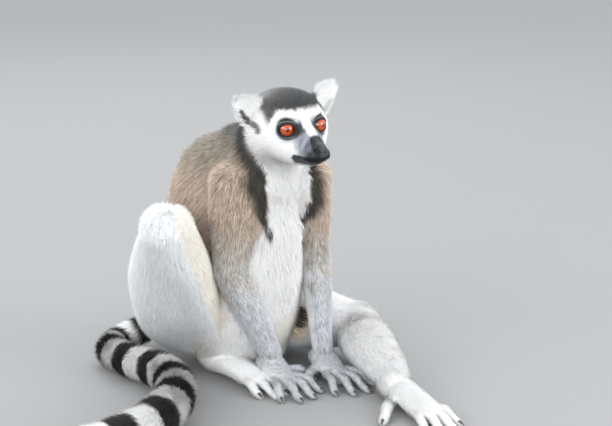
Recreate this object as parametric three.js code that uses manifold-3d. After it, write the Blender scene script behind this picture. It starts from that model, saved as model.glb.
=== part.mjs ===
// A ring-tailed lemur sitting upright on a level floor: the right knee drawn up, the left leg swung out
// low in front, both hands down between the feet, the tail laid on the floor along the right side, and the
// head turned a little to the right. The solids are the outer form, out to the tips of the coat.
// Millimetres. +Z is up, the animal faces -Y, its left side is +X, and the origin is the middle of the seat.
import * as THREE from 'three';
import Module from 'manifold-3d';
import { mergeVertices } from 'three/addons/utils/BufferGeometryUtils.js';

const wasm = await Module();
wasm.setup();

const V = (x, y, z) => new THREE.Vector3(x, y, z);
const SIDES = ['right', 'left'];
const SIGN = { right: -1, left: 1 };

// ---------------------------------------------------------------- driving dimensions

const GAP = 0.3;              // clear space between two neighbouring parts
const KNUCKLE = 0.1;          // share by which an upper arm or thigh stops short, inside the next length
const BLOCK = 900;            // size of the blocks that trim parts at a level

// The joints of the pose.
const JOINT = {
  shoulder: { right: V(-34, -44, 177), left: V(37, -60, 172) },
  elbow: { right: V(-43, -38, 104), left: V(42, -63, 100) },
  wrist: { right: V(-19, -63, 27), left: V(22, -88, 26) },
  hip: { right: V(-36, 34, 48), left: V(36, 26, 38) },
  knee: { right: V(-92, -14, 145), left: V(74, -84, 33) },
  ankle: { right: V(-31, -12, 27), left: V(15, -172, 19) },
};

// The girth of each limb: [share of its length, half across the bend, half in the plane of the bend].
const GIRTH = {
  upper_arm: [[0, 20, 27], [0.35, 19, 25], [0.7, 16, 20], [1, 14, 17]],
  forearm: [[0, 13.5, 16], [0.25, 14, 16], [0.65, 11.5, 13], [1, 10, 11]],
  thigh: [[0, 34, 44], [0.35, 34, 45], [0.7, 27.5, 34], [1, 21.5, 22.5]],
  shank: [[0, 21, 23], [0.25, 23, 26], [0.55, 20, 24], [0.85, 15.5, 18.5], [1, 14, 16]],
};

// The trunk from the seat to the shoulders: [y, z, half-width, half-depth].
const TRUNK = [
  [4, 34, 51, 62],
  [-1, 62, 56, 67],
  [-4, 96, 56, 69],
  [-4, 130, 52, 76],
  [-15, 160, 46, 67],
  [-34, 188, 36, 43],
];
const WAIST = 76;             // height of the cut between rump and belly
const RIBS = 128;             // height of the cut between belly and chest
const NECK = {
  from: V(-1, -30, 176),
  to: V(-8, -64, 226),
  girth: [[0, 36, 40], [0.5, 32, 33], [1, 28, 28]],
};

// The head is laid out in its own frame, (left, forward, up) from the point midway between the eyes.
const HEAD = {
  eyes: V(-13, -92, 229),     // that point
  turn: 21,                   // degrees to the animal's right
  roll: 2.3,                  // degrees that its left side is tipped up
  // [forward, top, bottom, half-width, narrowing towards the top]
  rings: [
    [-49, 9, -13, 12, 0],
    [-43, 19, -20, 20.5, 0],
    [-33, 26.5, -26, 27.5, 0],
    [-22, 30, -30, 32, 0.02],
    [-11, 29.5, -32, 32.5, 0.04],
    [-4, 25.5, -33, 29.5, 0.04],
    [2, 19, -33, 25, 0.06],
    [6, 13, -33, 20.5, 0.1],
    [11, 7, -32, 16.2, 0.16],
    [18, 1.5, -31, 13, 0.2],
    [25, -3.5, -28.5, 10.4, 0.2],
    [30, -7, -26.8, 8.2, 0.18],
    [34, -10, -24.5, 6.2, 0.1],
    [36.5, -12.5, -21.5, 4, 0],
  ],
  nape: 3.5,                  // how far the first ring's dome stands out behind it
  snout: 1.6,                 // the same for the last ring, in front
  sides: 18,
};
const EYE = { side: 14.2, forward: 1.5, up: 0, radius: 8 };
const SOCKET = 0.9;           // how much wider than the eyeball its socket is
const NOSE = { forward: 32.8, up: -14.2, wide: 5.5, long: 5.2, high: 4.9 };
const JAW = {                 // its outline from the side, in a wedge that is open at the front and below
  lip: -23.5, corner: -25, corner_forward: 11, back: -8, hinge: -41, below: -60, wide: 60,
};
const EAR = {
  root: { right: [26.5, -21, 5], left: [26, -21, 5.5] },   // its middle
  out: { right: 47, left: 43 },         // degrees it leans outwards
  back: { right: 12, left: 2 },         // degrees it leans back
  face: 24,                             // degrees its hollow turns outwards
  length: { right: 32, left: 35 },
  wide: 14.8, thick: 5, hollow: 8,
  shares: [0.05, 0.97],                 // where its first and last rings lie along it
  buried: 0.2,                          // share of its length inside the head
  lean: 0.62, fullness: 0.5,            // shape of its outline, wide * sin(pi * t^lean)^fullness
  thinning: 0.45,                       // share of its thickness lost by the tip
};

// Hands and feet. `line` is [distance ahead of the wrist or heel, height], `girth` as for the limbs, and a
// ray is a digit: [degrees towards the thumb side, length, start across, start along].
const HAND = {
  line: [[-2, 18], [11, 12], [31, 7]],
  girth: [[0, 12, 10.4], [0.35, 13.8, 9.1], [0.7, 11.2, 7.7], [1, 9.4, 6.5]],
  heel: 0,                    // how far behind the wrist the line is measured from
  radius: 3.9,                // of its digits
  heights: [9, 10, 10, 4.7, 2.7],
  rays: [[54, 23, 8, 8], [19, 26, 8.5, 23], [5, 31, 3, 25], [-7, 32, -3, 25], [-21, 27, -8.5, 22]],
};
const FOOT = {
  line: [[3, 13], [26, 12.5], [66, 8]],
  girth: [[0, 12.8, 14], [1, 14.8, 8.4]],
  heel: 9,
  radius: 4.4,
  heights: [8, 9, 9, 5, 3],
  rays: [[42, 32, 10, 30], [10, 27, 8.5, 56], [2, 32, 3, 59], [-5, 35, -3, 58], [-13, 30, -8.5, 53]],
};
const DIGIT = {
  buried: 6,                  // length inside the palm
  shares: [0.1, 0.5, 0.8, 1], // where its line has the second to the last of `heights`
  thumb: 1.15,                // girth of the first digit against the others
  girth: [[0, 1.1, 1.1], [1, 0.82, 0.72]],
};
const HEADING = {             // degrees from straight ahead, positive towards the animal's right
  hand: { right: 15, left: 16 },
  foot: { right: 7, left: 23 },
};

// The middle line of the tail on the floor, with its radius at each point.
const TAIL = [
  [-2, 52, 13], [-22, 76, 14], [-52, 88, 15], [-80, 72, 16], [-91, 36, 17], [-95, -4, 18.5],
  [-116, -44, 20], [-154, -74, 21], [-200, -90, 21], [-246, -88, 20.5], [-290, -70, 19.5], [-328, -42, 18],
  [-356, -6, 13],
];
const TAIL_ROOT = 42;         // height at which it leaves the rump
const TAIL_FALL = 25;         // height one point further on
const TAIL_SINK = 0.6;        // how far the coat under it is pressed flat by the floor
const TAIL_LENGTHS = 6;

const FINISH = {
  brown_coat: [0x9a8676, 0.95],
  grey_coat: [0xb4b6b8, 0.95],
  white_coat: [0xf2f2ee, 0.95],
  dark_coat: [0x4a4a48, 0.95],
  black_skin: [0x1f1f21, 0.5],
  iris: [0xc9541c, 0.1],
};

// ---------------------------------------------------------------- surfaces

function solid(points, index) {
  const geometry = new THREE.BufferGeometry().setFromPoints(points).setIndex(index);
  const merged = mergeVertices(geometry, 1e-4);
  return new wasm.Manifold(new wasm.Mesh({
    numProp: 3,
    vertProperties: merged.attributes.position.array,
    triVerts: new Uint32Array(merged.index.array),
  }));
}

// A closed surface over a row of rings, closed by a pole at either end.
function skinOver(rings, firstPole, lastPole) {
  const sides = rings[0].length;
  const points = [firstPole, ...rings.flat(), lastPole];
  const lastRing = 1 + (rings.length - 1) * sides;
  const index = [];
  for (let i = 0; i < sides; i++) {
    const j = (i + 1) % sides;
    index.push(0, 1 + j, 1 + i);
    index.push(points.length - 1, lastRing + i, lastRing + j);
    for (let near = 1; near < lastRing; near += sides) {
      const far = near + sides;
      index.push(near + i, near + j, far + j, near + i, far + j, far + i);
    }
  }
  return solid(points, index);
}

// A smooth reading of a table whose rows start with their own place.
function profile(rows) {
  const places = rows.map((row) => row[0]);
  const values = rows.flatMap((row) => row.slice(1));
  const curve = new THREE.CubicInterpolant(places, values, rows[0].length - 1);
  return (place) => [...curve.evaluate(place)];
}

const DOME = [32, 62];         // degrees round a domed end at which it has a ring
const TIP = [50];              // the same for a fingertip

const smooth = (points) => new THREE.CatmullRomCurve3(points, false, 'centripetal');

// A tube along a curve. half(t) gives its half-width along `across` and its half-depth, and `round` is how
// far its domed ends stand out, as a share of the smaller of the two.
function tube(curve, half, across, { steps = 5, sides = 10, round = 0.9, dome = DOME, grow = 0 } = {}) {
  const frameAt = (t) => {
    const along = curve.getTangent(t);
    const wide = across.clone().addScaledVector(along, -across.dot(along)).normalize();
    return { along, wide, deep: along.clone().cross(wide) };
  };
  const ringAt = (t, reach, share) => {
    const { along, wide, deep } = frameAt(t);
    const [w, d] = half(t).map((radius) => (radius + grow) * share);
    const middle = curve.getPoint(t).addScaledVector(along, reach);
    return Array.from({ length: sides }, (_, i) => {
      const angle = (2 * Math.PI * i) / sides;
      const [right, up] = [w * Math.cos(angle), d * Math.sin(angle)];
      return middle.clone().addScaledVector(wide, right).addScaledVector(deep, up);
    });
  };
  const reachOf = (t) => Math.min(...half(t)) * round + grow;
  const caps = round > 0 ? dome.map(THREE.MathUtils.degToRad) : [];
  const rings = caps.toReversed().map((a) => ringAt(0, -reachOf(0) * Math.sin(a), Math.cos(a)));
  for (let k = 0; k <= steps; k++) rings.push(ringAt(k / steps, 0, 1));
  rings.push(...caps.map((a) => ringAt(1, reachOf(1) * Math.sin(a), Math.cos(a))));
  const pole = (t, way) => curve.getPoint(t).addScaledVector(curve.getTangent(t), way * reachOf(t));
  return skinOver(rings, pole(0, -1), pole(1, 1));
}

function limb(from, to, girth, across, options) {
  return tube(new THREE.LineCurve3(from, to), profile(girth), across, { steps: 4, ...options });
}

// A three.js shape as a solid, once only its positions are left and its doubled points are one.
function fromGeometry(geometry) {
  const bare = new THREE.BufferGeometry().setAttribute('position', geometry.getAttribute('position'));
  const merged = mergeVertices(bare.setIndex(geometry.index), 1e-4);
  const place = new THREE.Vector3();
  const points = Array.from({ length: merged.attributes.position.count }, (_, i) =>
    place.fromBufferAttribute(merged.attributes.position, i).clone());
  const index = [];
  for (let i = 0; i < merged.index.count; i += 3) {
    const corners = [0, 1, 2].map((k) => merged.index.getX(i + k));
    if (new Set(corners).size === 3) index.push(...corners);
  }
  return solid(points, index);
}

// The space between two heights.
function level(low, high) {
  const slab = new THREE.BoxGeometry(2 * BLOCK, 2 * BLOCK, high - low);
  return fromGeometry(slab.translate(0, 0, (low + high) / 2));
}

// ---------------------------------------------------------------- trunk, neck and tail

function trunk(grow) {
  const spine = smooth(TRUNK.map(([y, z]) => V(0, y, z)));
  const half = profile(TRUNK.map(([, , wide, deep], i) => [i / (TRUNK.length - 1), wide, deep]));
  return tube(spine, half, V(1, 0, 0), { steps: 7, sides: 16, round: 0.72, grow });
}

function neck(grow) {
  return limb(NECK.from, NECK.to, NECK.girth, V(1, 0, 0), { steps: 2, sides: 12, round: 0.5, grow });
}

function tailLength(number) {
  const starts = [TAIL_ROOT, TAIL_FALL];
  const line = smooth(TAIL.map(([x, y, radius], i) => V(x, y, starts[i] ?? radius - TAIL_SINK)));
  const thick = profile(TAIL.map(([, , radius], i) => [i / (TAIL.length - 1), radius, radius]));
  const last = number === TAIL_LENGTHS - 1;
  const cut = GAP / line.getLength();
  const share = (t) => THREE.MathUtils.lerp(number / TAIL_LENGTHS + cut, (number + 1) / TAIL_LENGTHS, t);
  const piece = {
    getPoint: (t) => line.getPoint(share(t)),
    getTangent: (t) => line.getTangent(share(t)),
  };
  return tube(piece, (t) => thick(share(t)), V(0, 0, 1), { steps: 4, round: last ? 0.9 : 0 });
}

// ---------------------------------------------------------------- head

const headFrame = new THREE.Matrix4().makeTranslation(HEAD.eyes)
  .multiply(new THREE.Matrix4().makeRotationZ(THREE.MathUtils.degToRad(-HEAD.turn)))
  .multiply(new THREE.Matrix4().makeRotationY(THREE.MathUtils.degToRad(-HEAD.roll)));
const inHead = (left, forward, up) => V(left, -forward, up).applyMatrix4(headFrame);

function skull(grow) {
  const shape = profile(HEAD.rings);
  const rings = HEAD.rings.map(([forward]) => {
    const [top, bottom, wide, narrowing] = shape(forward);
    return Array.from({ length: HEAD.sides }, (_, i) => {
      const angle = (2 * Math.PI * i) / HEAD.sides;
      const rise = Math.sin(angle);
      const left = (wide + grow) * Math.cos(angle) * (1 - narrowing * rise);
      return inHead(left, forward, (top + bottom) / 2 + ((top - bottom) / 2 + grow) * rise);
    });
  });
  const pole = ([forward, top, bottom], reach) => inHead(0, forward + reach, (top + bottom) / 2);
  const back = pole(HEAD.rings[0], -HEAD.nape - grow);
  return skinOver(rings, back, pole(HEAD.rings.at(-1), HEAD.snout + grow));
}

function ball(place, wide, long, high, sides) {
  const geometry = new THREE.SphereGeometry(1, sides, Math.round(sides * 0.6)).scale(wide, long, high);
  return fromGeometry(geometry.applyMatrix4(headFrame.clone().setPosition(place)));
}

function eyeball(which, grow) {
  const radius = EYE.radius + grow;
  return ball(inHead(SIGN[which] * EYE.side, EYE.forward, EYE.up), radius, radius, radius, 12);
}

function nose(grow) {
  return ball(inHead(0, NOSE.forward, NOSE.up), NOSE.wide + grow, NOSE.long + grow, NOSE.high + grow, 10);
}

const centre = (points) => points.reduce((sum, p) => sum.add(p), V(0, 0, 0)).divideScalar(points.length);

// The wedge of space that holds the lower jaw: under the lips, and forward of the hinge.
function jawSpace(grow) {
  const back = JAW.back - grow;
  const outline = [
    [BLOCK, JAW.lip + grow], [JAW.corner_forward - grow, JAW.corner + grow],
    [back, JAW.hinge], [back, JAW.below], [BLOCK, JAW.below],
  ];
  const [near, far] = [JAW.wide, -JAW.wide].map((left) =>
    outline.map(([forward, up]) => inHead(left, forward, up)));
  return skinOver([near, far], centre(near), centre(far));
}

// A cupped ear: a leaf, widest at two fifths of its length, that curls forwards along both edges.
function ear(which, grow) {
  const sign = SIGN[which];
  const [out, back, face] = [EAR.out[which], EAR.back[which], EAR.face].map(THREE.MathUtils.degToRad);
  const along = V(sign * Math.sin(out), -Math.sin(back), Math.cos(out)).normalize();
  const front = V(sign * Math.sin(face), Math.cos(face), 0);
  front.addScaledVector(along, -front.dot(along)).normalize();
  const across = along.clone().cross(front);
  const [side, forward, up] = EAR.root[which];
  const root = V(sign * side, forward, up);
  const steps = 7;
  const sides = 10;
  const rings = [];
  for (let k = 0; k <= steps; k++) {
    const t = THREE.MathUtils.lerp(...EAR.shares, k / steps);
    const wide = EAR.wide * Math.sin(Math.PI * t ** EAR.lean) ** EAR.fullness;
    const thick = EAR.thick * (1 - EAR.thinning * t) + grow;
    const curl = EAR.hollow * Math.sin(Math.PI * Math.min(1, 0.25 + 0.8 * t));
    rings.push(Array.from({ length: sides }, (_, i) => {
      const angle = (2 * Math.PI * i) / sides;
      const aside = (wide + grow) * Math.cos(angle);
      const lift = thick * Math.sin(angle) + curl * ((aside / EAR.wide) ** 2 - 0.4);
      const p = root.clone().addScaledVector(along, EAR.length[which] * (t - EAR.buried))
        .addScaledVector(across, aside).addScaledVector(front, lift);
      return inHead(p.x, p.y, p.z);
    }));
  }
  return skinOver(rings, centre(rings[0]), centre(rings.at(-1)));
}

// ---------------------------------------------------------------- hands and feet

// Directions on the floor for a hand or foot that points `heading` degrees to the right of straight ahead.
function compass(heading, which) {
  const turn = THREE.MathUtils.degToRad(heading);
  return {
    ahead: V(-Math.sin(turn), -Math.cos(turn), 0),
    thumb: V(Math.cos(turn), -Math.sin(turn), 0).multiplyScalar(-SIGN[which]),
  };
}

const join = (solids) => solids.reduce((whole, piece) => whole.add(piece));

// A palm or sole and its digits, which leave it, arch over their middle joint and come down to the floor.
function paw(shape, joint, heading, which, { round, grow }) {
  const { ahead, thumb } = compass(heading[which], which);
  const ground = joint[which].clone().setZ(0).addScaledVector(ahead, -shape.heel);
  const bones = smooth(shape.line.map(([along, height]) =>
    ground.clone().addScaledVector(ahead, along).setZ(height)));
  const palm = tube(bones, profile(shape.girth), thumb, { steps: 3, sides: 8, round, dome: TIP, grow });
  const taper = profile(DIGIT.girth);
  const digits = shape.rays.map(([degrees, length, across, along], number) => {
    const angle = THREE.MathUtils.degToRad(degrees);
    const way = ahead.clone().multiplyScalar(Math.cos(angle)).addScaledVector(thumb, Math.sin(angle));
    const root = ground.clone().addScaledVector(ahead, along - DIGIT.buried).addScaledVector(thumb, across);
    const places = [0, ...DIGIT.shares.map((share) => DIGIT.buried + length * share)];
    const line = smooth(places.map((place, i) =>
      root.clone().addScaledVector(way, place).setZ(shape.heights[i])));
    const radius = shape.radius * (number === 0 ? DIGIT.thumb : 1);
    const half = (t) => taper(t).map((share) => share * radius);
    return tube(line, half, V(-way.y, way.x, 0), { steps: 3, sides: 5, dome: TIP, grow });
  });
  return join([palm, ...digits]);
}

const hand = (which, grow) => paw(HAND, JOINT.wrist, HEADING.hand, which, { round: 0.9, grow });
const foot = (which, grow) => paw(FOOT, JOINT.ankle, HEADING.foot, which, { round: 0.8, grow });

// ---------------------------------------------------------------- the parts, each less those before it

const root = new THREE.Group();
root.name = 'ring_tailed_lemur';
const aboveFloor = level(0, BLOCK);
const taken = [];

const meet = (a, b) => {
  const [p, q] = [a.boundingBox(), b.boundingBox()];
  return [0, 1, 2].every((axis) => p.min[axis] < q.max[axis] && q.min[axis] < p.max[axis]);
};

// Adds one part: make(0) less what the earlier parts need with their clear space, trimmed at the floor.
function add(name, finish, make, clear = GAP) {
  let whole = make(0).intersect(aboveFloor);
  for (const other of taken) {
    if (meet(whole, other)) whole = whole.subtract(other);
  }
  whole = whole.decompose().reduce((best, piece) => (piece.volume() > best.volume() ? piece : best));
  taken.push(make(clear));
  const { vertProperties, triVerts } = whole.getMesh();
  const geometry = new THREE.BufferGeometry();
  geometry.setAttribute('position', new THREE.BufferAttribute(vertProperties, 3));
  geometry.setIndex(new THREE.BufferAttribute(triVerts, 1));
  geometry.computeVertexNormals();
  const [color, roughness] = FINISH[finish];
  const mesh = new THREE.Mesh(geometry, new THREE.MeshStandardMaterial({ color, roughness, metalness: 0 }));
  mesh.name = name;
  root.add(mesh);
}

for (const which of SIDES) add(`eye_${which}`, 'iris', (grow) => eyeball(which, grow), SOCKET);
add('nose', 'black_skin', nose);
add('jaw', 'white_coat', (grow) => skull(grow).intersect(jawSpace(grow)));
add('head', 'white_coat', skull);
for (const which of SIDES) add(`ear_${which}`, 'white_coat', (grow) => ear(which, grow));

for (const which of SIDES) {
  const { shoulder, elbow, wrist, hip, knee, ankle } = Object.fromEntries(
    Object.entries(JOINT).map(([name, places]) => [name, places[which]]));
  const bend = (a, b, c) => b.clone().sub(a).cross(c.clone().sub(b)).normalize();
  const towards = (joint, other) => joint.clone().lerp(other, KNUCKLE);
  const arm = bend(shoulder, elbow, wrist);
  const leg = bend(hip, knee, ankle);
  add(`hand_${which}`, 'grey_coat', (grow) => hand(which, grow));
  add(`foot_${which}`, 'white_coat', (grow) => foot(which, grow));
  add(`forearm_${which}`, 'grey_coat', (grow) => limb(elbow, wrist, GIRTH.forearm, arm, { grow }));
  add(`shank_${which}`, 'white_coat', (grow) => limb(knee, ankle, GIRTH.shank, leg, { grow }));
  add(`upper_arm_${which}`, 'brown_coat',
    (grow) => limb(shoulder, towards(elbow, shoulder), GIRTH.upper_arm, arm, { grow }));
  add(`thigh_${which}`, 'grey_coat', (grow) => limb(hip, towards(knee, hip), GIRTH.thigh, leg, { grow }));
}

add('neck', 'dark_coat', neck);
add('rump', 'brown_coat', (grow) => trunk(grow).intersect(level(-BLOCK, WAIST + grow)));
add('belly', 'white_coat', (grow) => trunk(grow).intersect(level(WAIST - grow, RIBS + grow)));
add('chest', 'brown_coat', (grow) => trunk(grow).intersect(level(RIBS - grow, BLOCK)));
for (let number = 0; number < TAIL_LENGTHS; number++) {
  add(`tail_${number + 1}`, number % 2 ? 'dark_coat' : 'white_coat', () => tailLength(number));
}

export default root;
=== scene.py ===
"""A seated ring-tailed lemur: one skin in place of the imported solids, two eyes, nails and a coat of mesh
tufts, on a plain stage. Tables are in millimetres in the frame of the solids: +Z is up, the animal faces -Y,
its left side is +X, and the origin is the middle of the seat."""

import math

import bpy
import numpy as np
from mathutils import Matrix


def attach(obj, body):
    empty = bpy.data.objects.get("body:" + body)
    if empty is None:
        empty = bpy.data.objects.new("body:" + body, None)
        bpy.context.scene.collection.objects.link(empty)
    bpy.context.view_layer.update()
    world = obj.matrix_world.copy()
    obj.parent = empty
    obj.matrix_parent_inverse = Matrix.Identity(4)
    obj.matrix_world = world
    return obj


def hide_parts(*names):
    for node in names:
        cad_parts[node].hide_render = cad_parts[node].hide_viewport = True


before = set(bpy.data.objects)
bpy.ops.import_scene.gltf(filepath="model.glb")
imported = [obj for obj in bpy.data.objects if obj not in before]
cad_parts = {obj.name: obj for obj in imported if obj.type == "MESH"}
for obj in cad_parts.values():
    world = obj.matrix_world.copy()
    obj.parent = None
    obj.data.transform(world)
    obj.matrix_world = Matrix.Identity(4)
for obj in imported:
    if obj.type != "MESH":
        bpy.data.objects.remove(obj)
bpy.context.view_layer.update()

bl_info = {
    "name": "Ring-tailed lemur",
    "version": (1, 0, 0),
    "blender": (4, 5, 0),
    "location": "View3D > Sidebar > Lemur",
    "description": "Skin, eyes, nails and coat of a seated ring-tailed lemur",
    "category": "Add Mesh",
}

MM = 0.001
SEED = 11
FAR = 60.0  # the distance given to a point that is outside a shape's own box

# ---------------------------------------------------------------- the body's dimensions, to the tips of the coat

SIDES = ("right", "left")
SIGN = {"right": -1, "left": 1}
JOINT = {
    "shoulder": {"right": (-34, -44, 177), "left": (37, -60, 172)},
    "elbow": {"right": (-43, -38, 104), "left": (42, -63, 100)},
    "wrist": {"right": (-19, -63, 27), "left": (22, -88, 26)},
    "hip": {"right": (-36, 34, 48), "left": (36, 26, 38)},
    "knee": {"right": (-92, -14, 145), "left": (74, -84, 33)},
    "ankle": {"right": (-31, -12, 27), "left": (15, -172, 19)},
}
# [share of the length, half across the bend, half in the plane of the bend]
GIRTH = {
    "upper_arm": [(0, 20, 27), (0.35, 19, 25), (0.7, 16, 20), (1, 14, 17)],
    "forearm": [(0, 13.5, 16), (0.25, 14, 16), (0.65, 11.5, 13), (1, 10, 11)],
    "thigh": [(0, 34, 44), (0.35, 34, 45), (0.7, 27.5, 34), (1, 21.5, 22.5)],
    "shank": [(0, 21, 23), (0.25, 23, 26), (0.55, 20, 24), (0.85, 15.5, 18.5), (1, 14, 16)],
}
TRUNK = [
    (4, 34, 51, 62), (-1, 62, 56, 67), (-4, 96, 56, 69), (-4, 130, 52, 70), (-15, 160, 46, 68), (-34, 188, 36, 45),
]
NECK = {"from": (-1, -30, 176), "to": (-8, -64, 226), "girth": [(0, 36, 40), (0.5, 32, 33), (1, 28, 28)]}
EYES = np.array([-13.0, -92.0, 229.0])  # the point midway between the eyes
TURN = math.radians(21)  # the head's turn to its right
ROLL = math.radians(2.3)  # how far its left side is tipped up
# [forward, top, bottom, half-width, narrowing towards the top]
SKULL = [
    (-49, 9, -13, 12, 0), (-43, 19, -20, 20.5, 0), (-33, 26.5, -26, 27.5, 0), (-22, 30, -30, 32, 0.02),
    (-11, 29.5, -32, 32.5, 0.04), (-4, 25.5, -33, 29.5, 0.04), (2, 19, -33, 25, 0.06), (6, 13, -33, 20.5, 0.1),
    (11, 7, -32, 16.2, 0.16), (18, 1.5, -31, 13, 0.2), (25, -3.5, -28.5, 10.4, 0.2), (30, -7.0, -26.8, 8.2, 0.18),
    (34, -10, -24.5, 6.2, 0.1), (36.5, -12.5, -21.5, 4, 0),
]
EYE = {"side": 14.2, "forward": 1.5, "up": 0.0, "radius": 8.0, "out": 19.0, "gaze": {"right": 17.0, "left": 19.0}}
NOSE = {"place": (0, 32.8, -14.2), "half": (5.5, 5.2, 4.9)}
EAR = {
    "root": {"right": (26.5, -21, 5), "left": (26, -21, 5.5)}, "out": {"right": 47, "left": 43},
    "back": {"right": 12, "left": 2}, "length": {"right": 29.5, "left": 34}, "wide": {"right": 14.8, "left": 16},
    "face": 24, "thick": 5, "hollow": 8, "lean": 0.62, "fullness": 0.5,
}
# `line` is [distance ahead of the wrist or heel, height], `heights` are those of a digit's line, and a ray is
# [degrees towards the thumb side, length, start across, start along].
HAND = {
    "line": [(-2, 18), (11, 12), (31, 7)],
    "girth": [(0, 12, 10.4), (0.35, 13.8, 9.1), (0.7, 11.2, 7.7), (1, 9.4, 6.5)],
    "heel": 0, "radius": 3.9, "heights": (9, 10, 10, 4.7, 2.7), "dome": 0.9,
    "rays": ((54, 23, 8, 8), (19, 26, 8.5, 23), (5, 31, 3, 25), (-7, 32, -3, 25), (-21, 27, -8.5, 22)),
    "heading": {"right": 15, "left": 16}, "from": "wrist",
}
FOOT = {
    "line": [(3, 13), (26, 12.5), (66, 8)], "girth": [(0, 12.8, 14), (1, 14.8, 8.4)],
    "heel": 9, "radius": 4.4, "heights": (8, 9, 9, 5, 3), "dome": 0.8,
    "rays": ((42, 32, 10, 30), (10, 27, 8.5, 56), (2, 32, 3, 59), (-5, 35, -3, 58), (-13, 30, -8.5, 53)),
    "heading": {"right": 7, "left": 23}, "from": "ankle",
}
DIGIT = {"buried": 6, "shares": (0.1, 0.5, 0.8, 1), "thumb": 1.15, "girth": [(0, 1.1, 1.1), (1, 0.82, 0.72)]}
TAIL = [
    (-2, 52, 42, 13), (-22, 76, 25, 14), (-52, 88, 14.4, 15), (-80, 72, 15.4, 16), (-91, 36, 16.4, 17),
    (-95, -4, 17.9, 18.5), (-116, -44, 19.4, 20), (-154, -74, 20.4, 21), (-200, -90, 20.4, 21),
    (-246, -88, 19.9, 20.5), (-290, -70, 18.9, 19.5), (-328, -42, 17.4, 18), (-356, -6, 12.4, 13),
]
# The coat of each part: [its depth over the skin, the length of a tuft, its width, tufts to a square mm].
COAT = {
    "trunk": (6.5, 13.0, 0.72, 1.5),
    "neck": (5.5, 11.5, 0.7, 1.7),
    "head": (3.2, 7.0, 0.5, 3.6),
    "ear": (1.0, 5.0, 0.42, 3.8),
    "upper_arm": (4.5, 10.5, 0.68, 1.9),
    "forearm": (2.8, 7.8, 0.6, 2.3),
    "hand": (1.2, 4.2, 0.46, 2.9),
    "thigh": (6.0, 12.5, 0.72, 1.45),
    "shank": (4.2, 10.0, 0.66, 1.7),
    "foot": (2.0, 5.5, 0.52, 2.5),
    "tail": (6.5, 12.5, 0.8, 1.4),
}
TAIL_CORE = 0.62  # the tail's skin against its whole thickness
FLOOR = 0.4  # height of the lowest skin
DIGIT_BLEND = 2.0  # how softly a digit joins its palm or sole

# ---------------------------------------------------------------- plain arithmetic on whole arrays


def vec(*values):
    return np.array(values, float)


def unit(v):
    return v / np.maximum(np.linalg.norm(v, axis=-1, keepdims=True), 1e-9)


def dot(a, b):
    return (a * b).sum(-1)


def norm(v):
    """The length of each row."""
    return np.linalg.norm(v, axis=-1)


def ramp(low, high, x):
    """0 at low, 1 at high, 3t^2 - 2t^3 between, and level beyond; high may be the lesser."""
    t = np.clip((x - low) / (high - low), 0, 1)
    return t * t * (3 - 2 * t)


def mix(a, b, t):
    return a + (b - a) * np.asarray(t)[..., None]


def smooth_min(a, b, k):
    """min(a, b), less k h^3 / 6 with h = max(k - |a - b|, 0) / k, so that two shapes flow together."""
    h = np.maximum(k - np.abs(a - b), 0) / k
    return np.minimum(a, b) - h**3 * k / 6


def cut(a, b, k):
    """a with b taken out of it, rounded over k."""
    return -smooth_min(-a, b, k)


def reading(rows, at):
    """The columns of a table read at places of its first column, as Hermite cubics with central slopes."""
    rows = np.asarray(rows, float)
    x, y = rows[:, 0], rows[:, 1:]
    slope = np.gradient(y, x, axis=0)
    i = np.clip(np.searchsorted(x, at, side="right") - 1, 0, len(x) - 2)
    span = (x[i + 1] - x[i])[:, None]
    s = np.clip((at - x[i]) / span[:, 0], 0, 1)[:, None]
    start = (1 + 2 * s) * (1 - s) ** 2 * y[i] + s * (1 - s) ** 2 * span * slope[i]
    return start + s * s * (3 - 2 * s) * y[i + 1] - s * s * (1 - s) * span * slope[i + 1]


def curve(points, count):
    """A smooth line through points: a Hermite cubic over the square roots of the chords, at `count` even shares."""
    points = np.asarray(points, float)
    chord = np.r_[0, np.cumsum(norm(np.diff(points, axis=0)) ** 0.5)]
    at = np.interp(np.linspace(0, len(points) - 1, count), np.arange(len(points)), chord)
    return reading(np.column_stack([chord, points]), at)


def waves(q, size, seed):
    """Soft noise from -1 to 1: the mean of sines along seeded directions, with waves about `size` long."""
    rng = np.random.default_rng(seed)
    total = np.zeros(len(q))
    for _ in range(7):
        way = unit(rng.normal(size=3)) * (2 * math.pi / (size * rng.uniform(0.7, 1.5)))
        total += np.sin(q @ way + rng.uniform(0, 6.28))
    return total / 3.2


# ---------------------------------------------------------------- the shapes that make the body


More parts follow.
